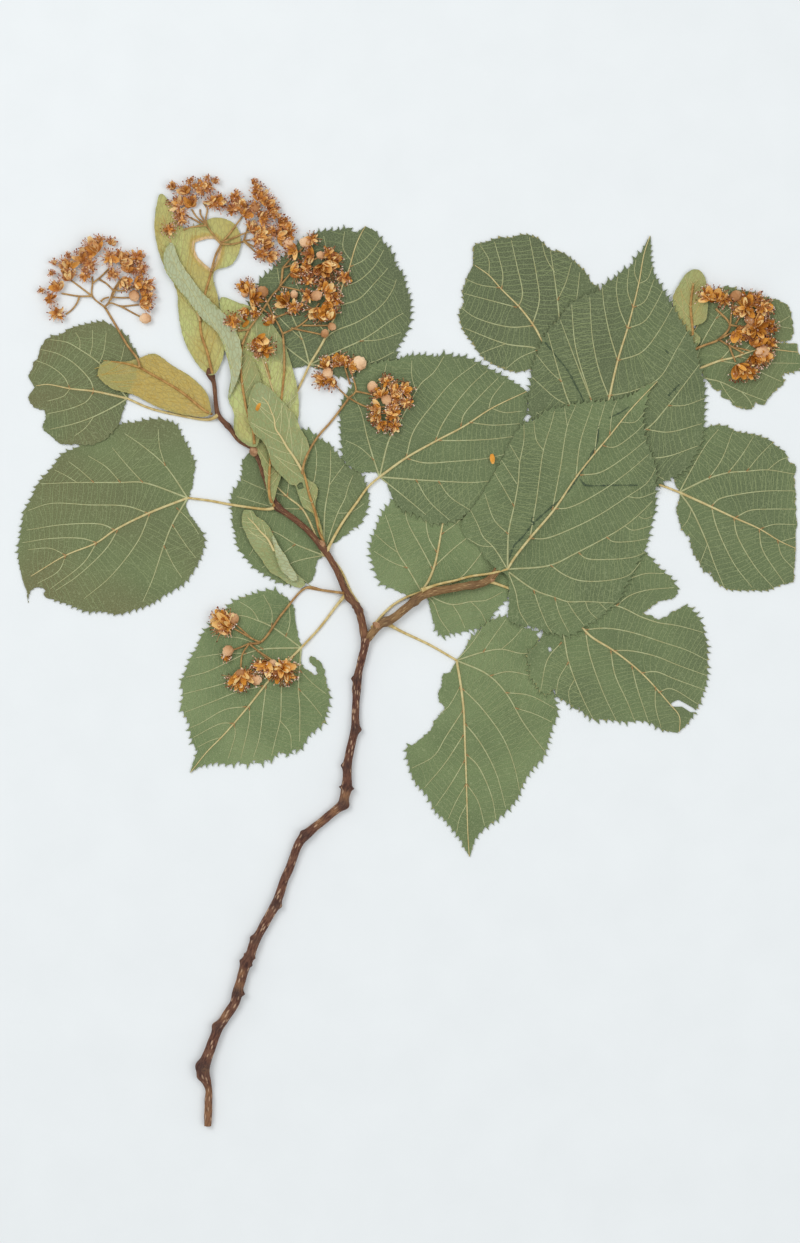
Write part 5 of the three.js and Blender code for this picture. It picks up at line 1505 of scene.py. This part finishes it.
# %% Leaf 8
make_leaf(
    "leaf_8", 42, start=4.2, deep=0.36,
    petiole="4.5,22 10,24 16.5,25.5 22,27 29,28 35,29.5",
    margin="""30.5,30 27.5,33 24.5,37.5 20.5,40.5 18.5,45 19.5,47.5 23,52 27,58 30,63 33,68.5 35.5,73.5
    38.5,79 41,81.5 43,82.5 45.5,83 48,85.5 52,87 55.5,87.5 59,88.5 64.5,89 69.5,89.5 74.5,90 78,91
    81.5,93 85.5,95.5 88.5,97 85.5,92.5 84.5,89 83.5,84.5 84,78 85,74.5 86.5,70.5 88,66 88,62 88,56.5
    88,52 86.5,45.5 85.5,41 84,36 81.5,32 79.5,27.5 77,23 75,18.5 71.5,15.5 67,11.5 63,9.5 59,6.5 55.5,6
    52,6.5 48,7.5 44.5,9 40.5,9.5 37,10.5 35.5,12 35.5,18.5 35.5,25.5 34.5,28""",
    plain="24.5,38,9.5 21,49.5,8.5 28,60,9.5 35.5,73,8 35.5,20.5,8.5",
    midrib="35,29.5 37.5,33.5 43,40.5 51.5,50.5 59,61.5 65.5,70 71,76.5 79.5,87 88.5,96.5",
    main="""35,29.5 35.5,42.5 37.5,52 39,60.5 39.5,67.5 41,75.5 41,81 / 35,29.5 30,37.5 26.5,41 24.5,45.5
    22,50.5 / 35,29.5 50.5,31 60,35.5 70.5,41 77,45 82,49 87,54 / 35.5,28.5 45,22 52,19.5 56.5,18 63,18
    73,17.5 / 35.5,28 38,21.5 39.5,14.5 42.5,9.5""",
    side="""43,40.5 45.5,54.5 48,72 50.5,80.5 52,86 / 48,72 45.5,75.5 44.5,82.5 / 51,50.5 54,65.5
    56.5,80.5 59.5,88 / 56.5,80.5 55.5,87 / 59.5,62 61,74.5 64.5,85.5 65.5,88.5 / 66,70.5 67,78 70,89 /
    71.5,77.5 72.5,85.5 74,89.5 / 43.5,40.5 48.5,40.5 58,44 68,49 78,55.5 85,60.5 88,65.5 / 78,55.5 82,55
    88,57 / 52,51 57,51.5 68,57 78.5,64.5 85.5,70.5 / 61,63 68,64 77,69.5 84.5,75.5 / 69,73.5 73,73
    80.5,78 84,81.5 / 75.5,82 80.5,82 84,85.5 / 50.5,31 55.5,27.5 61,25.5 70.5,25.5 78.5,27.5 82.5,32 /
    60.5,35.5 63,33.5 70,33 80.5,34 84,35.5 / 70.5,41 72.5,39.5 79.5,39.5 85.5,40.5 / 77,45 79.5,43.5
    86.5,45 / 82,48.5 84,47.5 87,48.5 / 44.5,22 46.5,16 49.5,9 51,7 / 52,19.5 53.5,14 57,7 / 56.5,18
    59,14 62.5,9.5 / 63,18 64,15 67,12 / 68,17.5 70.5,15 / 35.5,42 30.5,47 27,56.5 / 37.5,52 30.5,64 /
    38.5,60 33,68.5 / 39.5,68 36,74 / 30,37.5 25.5,38 21,40.5""",
    shades="88,93,13,-0.3",
    # painted shade: dark strands along the folds over what lies below
    crease_shades="""67.5,80.5 67,74.5 65,70.5 64,68 / 64,68 61,63.5 56.5,57 50.5,51.5 44,45.5 40.5,41 37.5,38
    35.5,33 / 62,60.5 63,59.5 72.5,59.5 81.5,59.5 / 71.5,83.5 75.5,85.5 78.5,87.5 / 63,59 62,60 61,61.5 /
    44.5,45.5 43.5,47.5 44.5,48""",
)

# %% [markdown]
# ## The other bracts
# Six bracts lie over the leaves and over one another, from the lowest to the top one. Some
# are folded: each fold is a line of its own in the margins, laid on the one before it, and
# shows the other, paler face. One sheet bent in two would need its fold found by hand.

# %% Bract 6
make_bract(
    "bract_6", 22, [0.05, -0.3],
    margins="""-37,24 -38,23 -39.5,23 -41.5,23.5 -44,25 -46,26.5 -49,28 -51,30.5 -52.5,33 -54.5,35.5
    -57,39.5 -58.5,43 -59.5,45.5 -59.5,48.5 -59,50.5 -57.5,50.5 -56,50.5 -54.5,48.5 -52,47 -50,45
    -48.5,42 -46.5,38 -44,34.5 -42,30.5 -40,28 -38,26 / -48.5,42 -46.5,38 -44,34.5 -42,30.5 -40.5,28.5
    -40,25.5 -42,25.5 -43,27 -45,28.5 -46.5,31 -47.5,34.5 -48,37 -48.5,39.5""",
    rib="-23,21 -30.5,22 -36.5,23",
    thin="-48,36 -50.5,40.5 -53,43 -55,45.5 -57.5,48",
)

# %% Bract 2
make_bract(
    "bract_2", 23, [0.55], dead_rim=True,
    margins="""-70,98.5 -74.5,101.5 -79.5,109.5 -82,119 -83,129 -88,139 -90.5,148.5 -90.5,156.5
    -88.5,163.5 -85,160 -83,154 -79.5,151 -75,152.5 -69.5,155 -62,152.5 -60,146 -63,138.5 -69.5,135.5
    -68,125.5 -65.5,111.5 -67,103""",
    rib="-70,99 -72,107 -74,113 -74.5,118 -73,127 -70.5,135.5",
    thin="-74.5,118 -77.5,129 -83,140.5 -88,156",
    holes="""-76.5,146 -75.5,146.5 -72,147.5 -69.5,147.5 -67.5,145.5 -68.5,140.5 -70.5,136.5 -73,138.5
    -75.5,141 -76.5,143.5""",
)

# %% Bract 4
make_bract(
    "bract_4", 24, [0.3],
    margins="""-49,52 -50.5,57 -52,65.5 -55.5,75.5 -58,88 -59.5,100.5 -61,113 -67,121.5 -67,126.5
    -60.5,124.5 -54.5,122.5 -49.5,118 -44.5,110 -41.5,101 -39.5,92 -39.5,83 -41.5,72 -45.5,63""",
    rib="-48,52 -49.5,55 -49,72 -47,83 -45.5,90.5 -44.5,100",
    thin="-44,78 -46.5,86 -48.5,93 -51.5,102 -54,108.5 -57.5,113",
)

# %% Bract 1
make_bract(
    "bract_1", 25, [0.95],
    margins="""-71,84.5 -72,92 -77.5,98 -84,102 -91,106.5 -95.5,105 -101.5,103.5 -109,103.5 -111,99
    -106,94 -99,92 -91,88 -82.5,85""",
    rib="-70.5,85 -72,85.5 -81.5,93 -96,101.5",
    thin="-96,101.5 -101.5,103 -109,104",
)

# %% Bract 3
make_bract(
    "bract_3", 26, [0.35, -0.45],
    margins="""-54.5,73 -59,74.5 -62,78 -62.5,85 -64.5,91 -63,98.5 -59.5,107 -55.5,104 -52.5,95.5
    -52,84.5 / -64.5,90.5 -63.5,97 -65,105.5 -68.5,114 -73.5,118.5 -79,125.5 -83,130.5 -87,136.5
    -87,143.5 -84.5,146 -82,140 -75.5,130.5 -70.5,125 -64.5,119 -61,113 -59.5,107 -60.5,98.5""",
    rib="-55,74 -55.5,79 -58,87 -59.5,96 -60,102 -59.5,109.5",
    faint="-62,98 -65.5,110 -73,122 -82,135.5 -85.5,143.5",
)

# %% Bract 5
make_bract(
    "bract_5", 27, [0.12], dry=0.9,
    margins="""-30.5,40.5 -32.5,45.5 -34.5,49.5 -36,50.5 -38,52 -38.5,53.5 -39.5,56 -40,57.5 -40.5,59.5
    -42,59.5 -44,61.5 -45.5,63 -47.5,65 -49,67 -49.5,69.5 -50.5,72.5 -52.5,75.5 -54.5,77 -56,79.5 -57,82
    -57.5,85.5 -57,89 -56.5,92.5 -54.5,95.5 -53,96 -52,95.5 -49.5,94 -48,92.5 -46,90.5 -44,88 -41.5,85.5
    -40,83 -38.5,79.5 -37,77 -36,75 -35.5,72 -36,69.5 -37,66.5 -37,63.5 -36.5,62 -34.5,60.5 -33,59.5
    -32.5,57 -33,54.5 -33.5,53 -33,50.5 -31.5,45.5""",
    rib="-30.5,39.5 -32,43 -33.5,50 -35.5,56 -37,62 -38,65",
    thin="-38,64.5 -41,69.5 -43.5,73 -45.5,76.5 -47.5,79.5 -48,83 -49,85.5 -50.5,89 -52.5,91",
    holes="-40,59.5 -39,60.5 -38,60.5 -37.5,58.5 -39,58 -39.5,58",
)

# %% [markdown]
# ## Flower clusters
# Linden flowers dry to crumpled tufts: five straw-coloured petals, five smaller petal-like
# scales, five boat-shaped sepals, a felted ovary and some thirty stamens with tiny anthers.
# Modelling each one would take thousands of shapes. A few petals, sepals and an anther are
# modelled, and copies are turned and tilted round the centre of every flower.

# %% Petal, sepal and ball
def arrays(bm):
    """The corners and faces that a bmesh has drawn, to be copied many times."""
    bm.verts.index_update()
    co = np.array([v.co for v in bm.verts])
    faces = [[v.index for v in face.verts] for face in bm.faces]
    bm.free()
    return co, faces


def petal_shape(columns, rows, cup, curl):
    """A blade one unit long from the origin along X, cupped across and curled up."""
    bm = bmesh.new()
    bmesh.ops.create_grid(bm, x_segments=rows, y_segments=columns, size=0.5)
    for v in bm.verts:
        t, w = v.co.x + 0.5, v.co.y * 2
        half = 0.26 * math.sin(math.pi * min(1, 0.1 + t * 0.84)) ** 0.7 + 0.03
        v.co = Vector((t, w * half, curl * t * t + cup * w * w * half))
    bmesh.ops.solidify(bm, geom=bm.faces[:], thickness=0.02)
    bmesh.ops.recalc_face_normals(bm, faces=bm.faces[:])
    return arrays(bm)


def ball_shape(subdivisions, stretch=1.0, ribs=0.0, wrinkle=0.0):
    """A ball one unit in radius, drawn out along X, with five ribs and a wrinkled skin."""
    bm = bmesh.new()
    bmesh.ops.create_icosphere(bm, subdivisions=subdivisions, radius=1)
    for v in bm.verts:
        rib = ribs * math.cos(5 * math.atan2(v.co.y, v.co.x)) * (1 - abs(v.co.z))
        v.co *= 1 + rib + wrinkle * noise.noise(v.co * 2.4)
        v.co.x *= stretch
    return arrays(bm)


PETALS = [petal_shape(3, 5, cup, curl) for cup, curl in ((0.5, 0.25), (-0.4, -0.2), (0.8, 0.5))]
SEPALS = [petal_shape(2, 3, 1.6, curl) for curl in (0.1, 0.4)]
GRAIN = ball_shape(1)
OVARY = ball_shape(2, ribs=0.08)
ROUND_BUD = ball_shape(4, stretch=1.1, ribs=0.03, wrinkle=0.16)
print("a petal has", len(PETALS[0][1]), "faces")


# %% Scattered copies
SOFT_FLOOR = 0.4  # copies are pressed flat below this height


def turned(turn, tilt, roll):
    """The matrix that rolls about X, then tilts X upwards, then turns about Z."""
    (ct, cy, cr), (st, sy, sr) = np.cos([turn, tilt, roll]), np.sin([turn, tilt, roll])
    about_x = np.array([[1, 0, 0], [0, cr, -sr], [0, sr, cr]])
    about_y = np.array([[cy, 0, -sy], [0, 1, 0], [sy, 0, cy]])
    about_z = np.array([[ct, -st, 0], [st, ct, 0], [0, 0, 1]])
    return about_z @ about_y @ about_x


def scattered(copies, chance):
    """One mesh from [(shape, place, size, turn, tilt, roll), ...], and a tone for every
    vertex: each copy has its own, and is lighter towards its far end."""
    verts, faces, tones, first = [], [], [], 0
    for (co, polys), place, size, *angles in copies:
        shape = (co * size) @ turned(*angles).T + place
        low = np.minimum(shape[:, 2], SOFT_FLOOR)
        shape[:, 2] += SOFT_FLOOR * np.exp(low / SOFT_FLOOR - 1) - low
        verts.append(shape)
        faces.extend([[i + first for i in f] for f in polys])
        tones.append(chance.random() + 0.35 * co[:, 0])
        first += len(co)
    mesh = bpy.data.meshes.new("scattered")
    mesh.from_pydata(np.concatenate(verts), [], faces)
    return mesh, np.concatenate(tones)


print("copies are pressed flat below", SOFT_FLOOR, "mm")


# %% One flower
TALLEST = 8.2  # no flower or bud stands higher than this, in millimetres
SIDEWAYS = 0.6  # the share of flowers that were pressed on their side


def fan(heading, spread, chance):
    """Five directions spread evenly about a heading, each a little off."""
    for k in range(5):
        yield heading + spread * ((k + 0.5) / 5 * 2 - 1) + chance.uniform(-0.25, 0.25)


def above(x, y, least, rise, height):
    """A point over the pile, low enough for something of a given height."""
    ground = max(least, float(level(pile, x, y))) + rise
    return np.array([x, y, min(ground, TALLEST - height)])


def flower(x, y, radius, way, width, chance, out):
    """Adds one dried flower, seen from the front or pressed on its side, to the lists."""
    centre = above(x, y, 0.3, 0.5, 2.2)
    heading, spread, reach = chance.uniform(0, math.tau), math.pi, radius
    if chance.random() < SIDEWAYS:
        heading, spread, reach = math.atan2(way[1], way[0]), chance.uniform(0.9, 1.5), radius * 1.45
        centre = centre - np.array([math.cos(heading), math.sin(heading), 0]) * radius * 0.55

    def add(kind, shapes, root, size, wide, turn, tilts, roll):
        out[kind].append((chance.choice(shapes), root, np.array([size, size * wide, size]), turn,
                          chance.uniform(*tilts), chance.uniform(-roll, roll)))

    for turn in fan(heading, spread, chance):
        size = reach * chance.uniform(0.65, 1.0)
        wide = width * chance.uniform(0.75, 1.3)
        root = centre + [0, 0, chance.uniform(0.2, 1.0)]
        add("petals", PETALS, root, size, wide, turn, (-0.05, 0.3), 0.9)
    for turn in fan(heading, spread * 0.9, chance):
        size = reach * chance.uniform(0.45, 0.7)
        add("sepals", SEPALS, centre, size, 1.6, turn, (-0.05, 0.25), 0.5)
    for turn in fan(heading, spread * 0.8, chance):
        size = reach * chance.uniform(0.5, 0.8)
        root = centre + [0, 0, chance.uniform(0.8, 1.3)]
        add("petals", PETALS, root, size, 0.8, turn, (0.1, 0.6), 0.9)
    if radius > 2:
        size = np.full(3, chance.uniform(0.5, 0.75))
        out["felt"].append((OVARY, centre + [0, 0, 0.7], size, heading, 0, 0))
    for _ in range(round((17 - 5 * width) * radius)):
        stamen(centre, heading, spread * 1.05, reach, chance, out)


def stamen(centre, heading, spread, reach, chance, out):
    """Adds one bent thread and the anther on its end."""
    turn = heading + chance.uniform(-1, 1) * spread
    length = reach * chance.uniform(0.5, 1.12)
    rise = chance.uniform(0.6, 1.9)
    bend = chance.uniform(-0.5, 0.5)
    t = np.linspace(0, 1, 5)
    line = centre + np.column_stack([length * t * np.cos(turn + bend * t),
                                     length * t * np.sin(turn + bend * t),
                                     0.3 + rise * np.sin(t * 2.2)])
    out["threads"].append((line, 0.07))
    kind = "dark" if chance.random() < 0.5 else "pale"
    size = chance.uniform(0.18, 0.28)
    out[kind].append((GRAIN, line[-1], np.array([size * 1.4, size, size * 0.8]), turn, 0, 0))


print("flowers and buds stay under", TALLEST, "mm")

# %% [markdown]
# ## One cluster
# A cluster is a forked stalk with flowers and round buds round its ends. The stalks are
# strands laid over the pile, and each flower faces away from the nearest stalk's end. Looks
# differ between clusters: how rosy, how wide-petalled, how large and how light they are.

# %% Cluster maker
KINDS = {"petals": PETAL, "sepals": SEPAL, "dark": DARK_ANTHER, "pale": PALE_ANTHER, "felt": FELT}


def make_cyme(name, seed, rosy, width, scale, shift, stalks, blooms, buds):
    """Blooms and buds are circles in the plan: x, y and radius."""
    chance = random.Random(seed)
    out = {kind: [] for kind in ("threads", *KINDS)}
    lines = []
    for k, line in enumerate(paths(stalks)):
        line = drawn(line, 0.8, 0.7)
        radii = (0.3 if k else 0.41) + 0.1 * np.exp(-run(line) / 1.2)
        laid = lay(line, radii, gap=0.08)
        bury(laid, radii)
        lines.append((laid, radii))
    for x, y, r in path(buds):
        r *= 0.92
        place, size = above(x, y, 0.2, r * 0.7, r), np.array([r, r, r * 0.75])
        out["felt"].append((ROUND_BUD, place, size, chance.uniform(0, 6), 0, 0))
    ends = np.array([line[-1, :2] for line, _ in lines])
    for x, y, r in path(blooms):
        way = (x, y) - ends[norm(ends - (x, y), axis=1).argmin()]
        flower(x, y, r * scale, way + 0.01, width, chance, out)
    parts = [(strands(lines, 1), STALK), (strands(out["threads"]), THREAD)]
    tones = [np.full(len(mesh.vertices), 0.5) for mesh, _ in parts]
    for kind, number in KINDS.items():
        mesh, tone = scattered(out[kind], chance)
        parts.append((mesh, number))
        tones.append(tone)
    cyme = piece(name + "_dried", parts, FLOWER_FINISHES, name)
    patch = level(wave(seed, 9, 1.2), *spots(cyme).T)
    tell(cyme, "tone", np.concatenate(tones) + shift)
    tell(cyme, "age", np.clip(rosy * (0.4 + patch), 0, 1))


print("kinds of parts:", ", ".join(KINDS))

# %% [markdown]
# ## The seven clusters
# They are laid in this order. The drawing gives the forks of each stalk, and where every
# flower and bud lies. Scattering flowers at random round the ends would be quicker, but the
# outline of a cluster is what one knows it by.

# %% Flowers 6
make_cyme(
    "flowers_6", 71, rosy=0.05, width=0.8, scale=1.0, shift=0.06,
    stalks="""-23.5,21 -30.5,22 -36.5,23 -45,14 -53,3.5 -57,3 / -53,3.5 -55.5,4.5 -62,10 / -55.5,4.5
    -63.5,9 / -57,3 -62,1 -64.5,0.5 / -57,3 -54,0.5 -50,-3 / -57,3 -59.5,-1 -60,-5.5 / -54,0.5 -48,-3.5
    -44.5,-6.5""",
    blooms="""-66,10.5,4.5 -65,-2,2 -59.5,-10,4.5 -51,-6,4 -44,-7,4.5 -64.5,8.5,3 -68,12.5,3 -58,-8,3
    -61.5,-11.5,3 -53,-5,3 -46,-5.5,3 -43,-9,3""",
    buds="-62.5,12,2 -64.5,0.5,2 -54.5,-10,2 -48.5,-4,1.5 -60,-8,2",
)

# %% Flowers 7
make_cyme(
    "flowers_7", 72, rosy=0.1, width=1.0, scale=1.15, shift=-0.08,
    stalks="""102,108 105.5,109.5 110.5,111.5 114.5,116.5 109.5,122.5 / 114.5,116.5 115.5,124 116.5,126.5
    / 116.5,117 119.5,122 / 114.5,116.5 123,115.5 / 110.5,111.5 114,109.5 121.5,107.5 / 114,109.5
    116.5,103.5 / 114,109.5 119.5,106.5 / 110.5,111.5 116.5,114.5""",
    blooms="""106,127.5,3 109,127.5,3 112.5,125.5,3 120.5,125.5,3.5 126,123,3.5 119,121,3 125.5,117.5,3.5
    126,114,3 118,113,3 121.5,114,3 124.5,110.5,3 124,104,3 119,100.5,3.5 124,126,2.5 127.5,122,2.5
    129,116,2.5 129,110,2.5 127.5,105,2.5 122,99.5,2.5""",
    buds="116.5,127,2 126,107,2.5 121.5,118.5,2",
)

# %% Flowers 2
make_cyme(
    "flowers_2", 73, rosy=0.4, width=0.95, scale=0.96, shift=0.04,
    stalks="""-70.5,135.5 -69,141.5 -67,145.5 / -67,145.5 -69,148 -71,150.5 -72,152 / -72,152 -72.5,154.5
    -72,158 -73.5,160.5 / -72,152 -74.5,156.5 -74.5,158 / -72,152 -76,155.5 -77.5,158 / -74.5,153
    -79.5,156 / -72,152 -78,151.5 -80.5,150.5 / -67,145.5 -63,145.5 -59,146.5 / -66,147 -63,150.5
    -59.5,155.5 / -59,146.5 -58,150 -57,154 / -67,146 -57,150 / -59,146.5 -55,147.5 / -59,146.5 -54,144 /
    -59,146.5 -54.5,142.5""",
    blooms="""-83,160.5,3 -80,165,3 -78,160.5,3 -74.5,165.5,3.5 -72,166,3 -70,160.5,3.5 -67,160.5,3
    -81.5,156.5,3 -81,154,3 -85.5,150.5,3 -84.5,166,2 -78,168,1.5 -72,169,1.5 -69,168,1.5 -62,162,3
    -63,158,3 -60,159.5,3 -55,158.5,3 -58,157,3 -52,162.5,3.5 -49.5,160,3 -54,165,3 -51.5,155,3
    -48,156.5,3 -55.5,151.5,3 -52.5,150,3 -49,150,3 -45,153,3 -42.5,150,3 -45,148.5,3 -54,147,3
    -50.5,146,3 -52.5,142,3 -48.5,141,3 -55,167.5,1.5""",
    buds="-43,145.5,2 -55,158.5,2",
)

# %% Flowers 1
make_cyme(
    "flowers_1", 74, rosy=0.5, width=0.95, scale=0.95, shift=0.14,
    stalks="""-96,101.5 -96.5,104 -100.5,109.5 -104,115.5 -108.5,123 / -108.5,123 -113,127 -113,131.5
    -113,134 / -113,131.5 -110.5,133.5 -107,137 / -110.5,133 -108,131.5 -105.5,129 / -113,127 -119,131.5
    -121,133 / -113,127 -117.5,127 -124,128 / -117.5,127 -118.5,124.5 -120.5,122 -122.5,120.5 /
    -108.5,123 -107,125 -105.5,129 -104,131.5 -102.5,133.5 / -106.5,125.5 -103,132.5 / -105.5,129
    -101.5,129 -99,130 -96.5,131.5 / -106.5,126.5 -100.5,126.5 -98,127 / -110,125 -109,126 -107,126.5 /
    -108.5,123 -106.5,124.5 -103,123.5 -96.5,124 / -103,123.5 -96.5,120 -94,119""",
    blooms="""-121.5,134.5,3 -125.5,130.5,3 -128,126,3 -125.5,120.5,3.5 -122,138.5,3.5 -117,140.5,3.5
    -113,144.5,4.5 -114,138,3.5 -115.5,134.5,3 -106.5,140.5,4 -101.5,140.5,3.5 -97,140.5,3.5 -99.5,137,3
    -95.5,136.5,3 -105.5,135,3 -101,131.5,3 -96,131.5,3 -93,130.5,3 -93,126.5,3 -94,124,3 -131,129,1.5
    -127.5,135,1.5 -126.5,139,1.5 -121.5,141.5,1.5 -110.5,147,2 -106,146.5,2""",
    buds="-98,127,2 -94,119,2",
)

# %% Flowers 3
make_cyme(
    "flowers_3", 75, rosy=0.25, width=0.9, scale=1.04, shift=-0.06,
    stalks="""-59.5,109.5 -57,115 -52.5,121.5 -49,127 -46,130.5 -45,137 / -45,137 -41.5,141 -38,144
    -37,145.5 / -45,137 -38,139 -34,140 -32,141 / -46,130.5 -39,129 -33,127 / -46,130.5 -42,135.5""",
    blooms="""-34.5,147,3 -42,143,3 -36,141.5,3 -28.5,142,3 -26.5,139,3 -37,136.5,3 -40,135.5,3
    -35.5,132.5,3 -23,133.5,3 -30.5,130.5,3 -28,129,3 -36,127,3 -26.5,125.5,3 -28,124,3 -30,135.5,4.5""",
    buds="-37,146,2 -31.5,141.5,1.5 -33,127,2",
)

# %% Flowers 4
make_cyme(
    "flowers_4", 76, rosy=0.05, width=0.95, scale=1.16, shift=-0.04,
    stalks="""-44.5,100 -44.5,107 -45,113.5 / -45,113.5 -48,119 -52.5,122.5 -56.5,126 / -48,119
    -50.5,124.5 -52,128 / -48,119 -44.5,120.5 -40.5,121.5 / -45,113.5 -39,116.5 -36,119 -32,124.5 /
    -38,116.5 -33,116.5 -28,116.5 / -42,115.5 -34.5,114 -30,113 / -61,114.5 -57,115 / -51,103 -49.5,97.5""",
    blooms="""-58,130,3 -54.5,126.5,3 -45,125.5,3 -41,123,3 -33,120.5,3 -29.5,120.5,3 -49.5,118.5,2
    -63,118,3 -58.5,121,2 -55,120.5,2 -51.5,108,4 -53,110,3""",
    buds="-52,128.5,2 -27.5,116,1.5 -30,113.5,1.5 -58.5,128,1.5 -40,123,1.5 -41,127.5,1.5 -54,106.5,1.5",
)

# %% Flowers 5
make_cyme(
    "flowers_5", 77, rosy=0.05, width=0.95, scale=0.95, shift=0.08,
    stalks="""-38,63.5 -37.5,67 -35.5,72 -32,77.5 -28,82 -24.5,86.5 -21.5,90.5 / -21.5,90.5 -25.5,94.5
    -27,97 / -21.5,90.5 -19,93 -20,98 / -21,95.5 -23,102 / -19,93 -14,92 -9.5,90.5 / -21.5,90.5 -15,87.5
    -8.5,87.5""",
    blooms="""-32,97,3 -28,96,3 -30,103,3 -25.5,104,3 -23,104,3 -19.5,102,3 -8,96.5,3 -4.5,94,3
    -10.5,92.5,3 -4.5,91.5,3 -0.5,93.5,3 -1,89,3 -5.5,88,3 -6,84.5,4 -12,83.5,3 -9.5,80.5,3 -5,80.5,3
    -12,86,3""",
    buds="-29,99.5,2 -17.5,103,2.5 -13,94.5,2 -8,90,2",
)

# %% [markdown]
# ## Fallen petals
# A few petals came off and lie on the leaves and bracts. They are copies of the petals that
# the flowers use, each laid one by one at its listed place, and they stand for no solid.

# %% Fallen petals
FALLEN = "29.6,70.7,3.6,-1.3 -54.3,86,3.4,1 -58.9,121.4,2.6,-0.9 -57.8,118.2,2.6,2.2 -59.3,116,3,0.9"
chance = random.Random(5)
loose = []
for x, y, size, turn in path(FALLEN):
    root = np.array([x, y, level(pile, x, y) + 0.3])
    loose.append((chance.choice(PETALS), root, np.array([size, size * 0.9, size]), turn, 0, 0.3))
mesh, tone = scattered(loose, chance)
petals = piece("fallen_petals", [(mesh, 0)], [FLOWER_FINISHES[PETAL]], None)
tell(petals, "tone", tone * 0.6)

# %% [markdown]
# ## Sizes
# Both boxes, of the solid branch and of the dressed one, are printed. The dressed branch
# has to stay inside the box of the solid one, but for a small allowance.

# %% Print the sizes and finish
def plain(box):
    return [[float(v) for v in corner] for corner in box]


shown_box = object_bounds()
{"cad": plain(cad_box), "visual": plain(shown_box)}
print("solid box:", plain(cad_box))
print("shown box:", plain(shown_box))
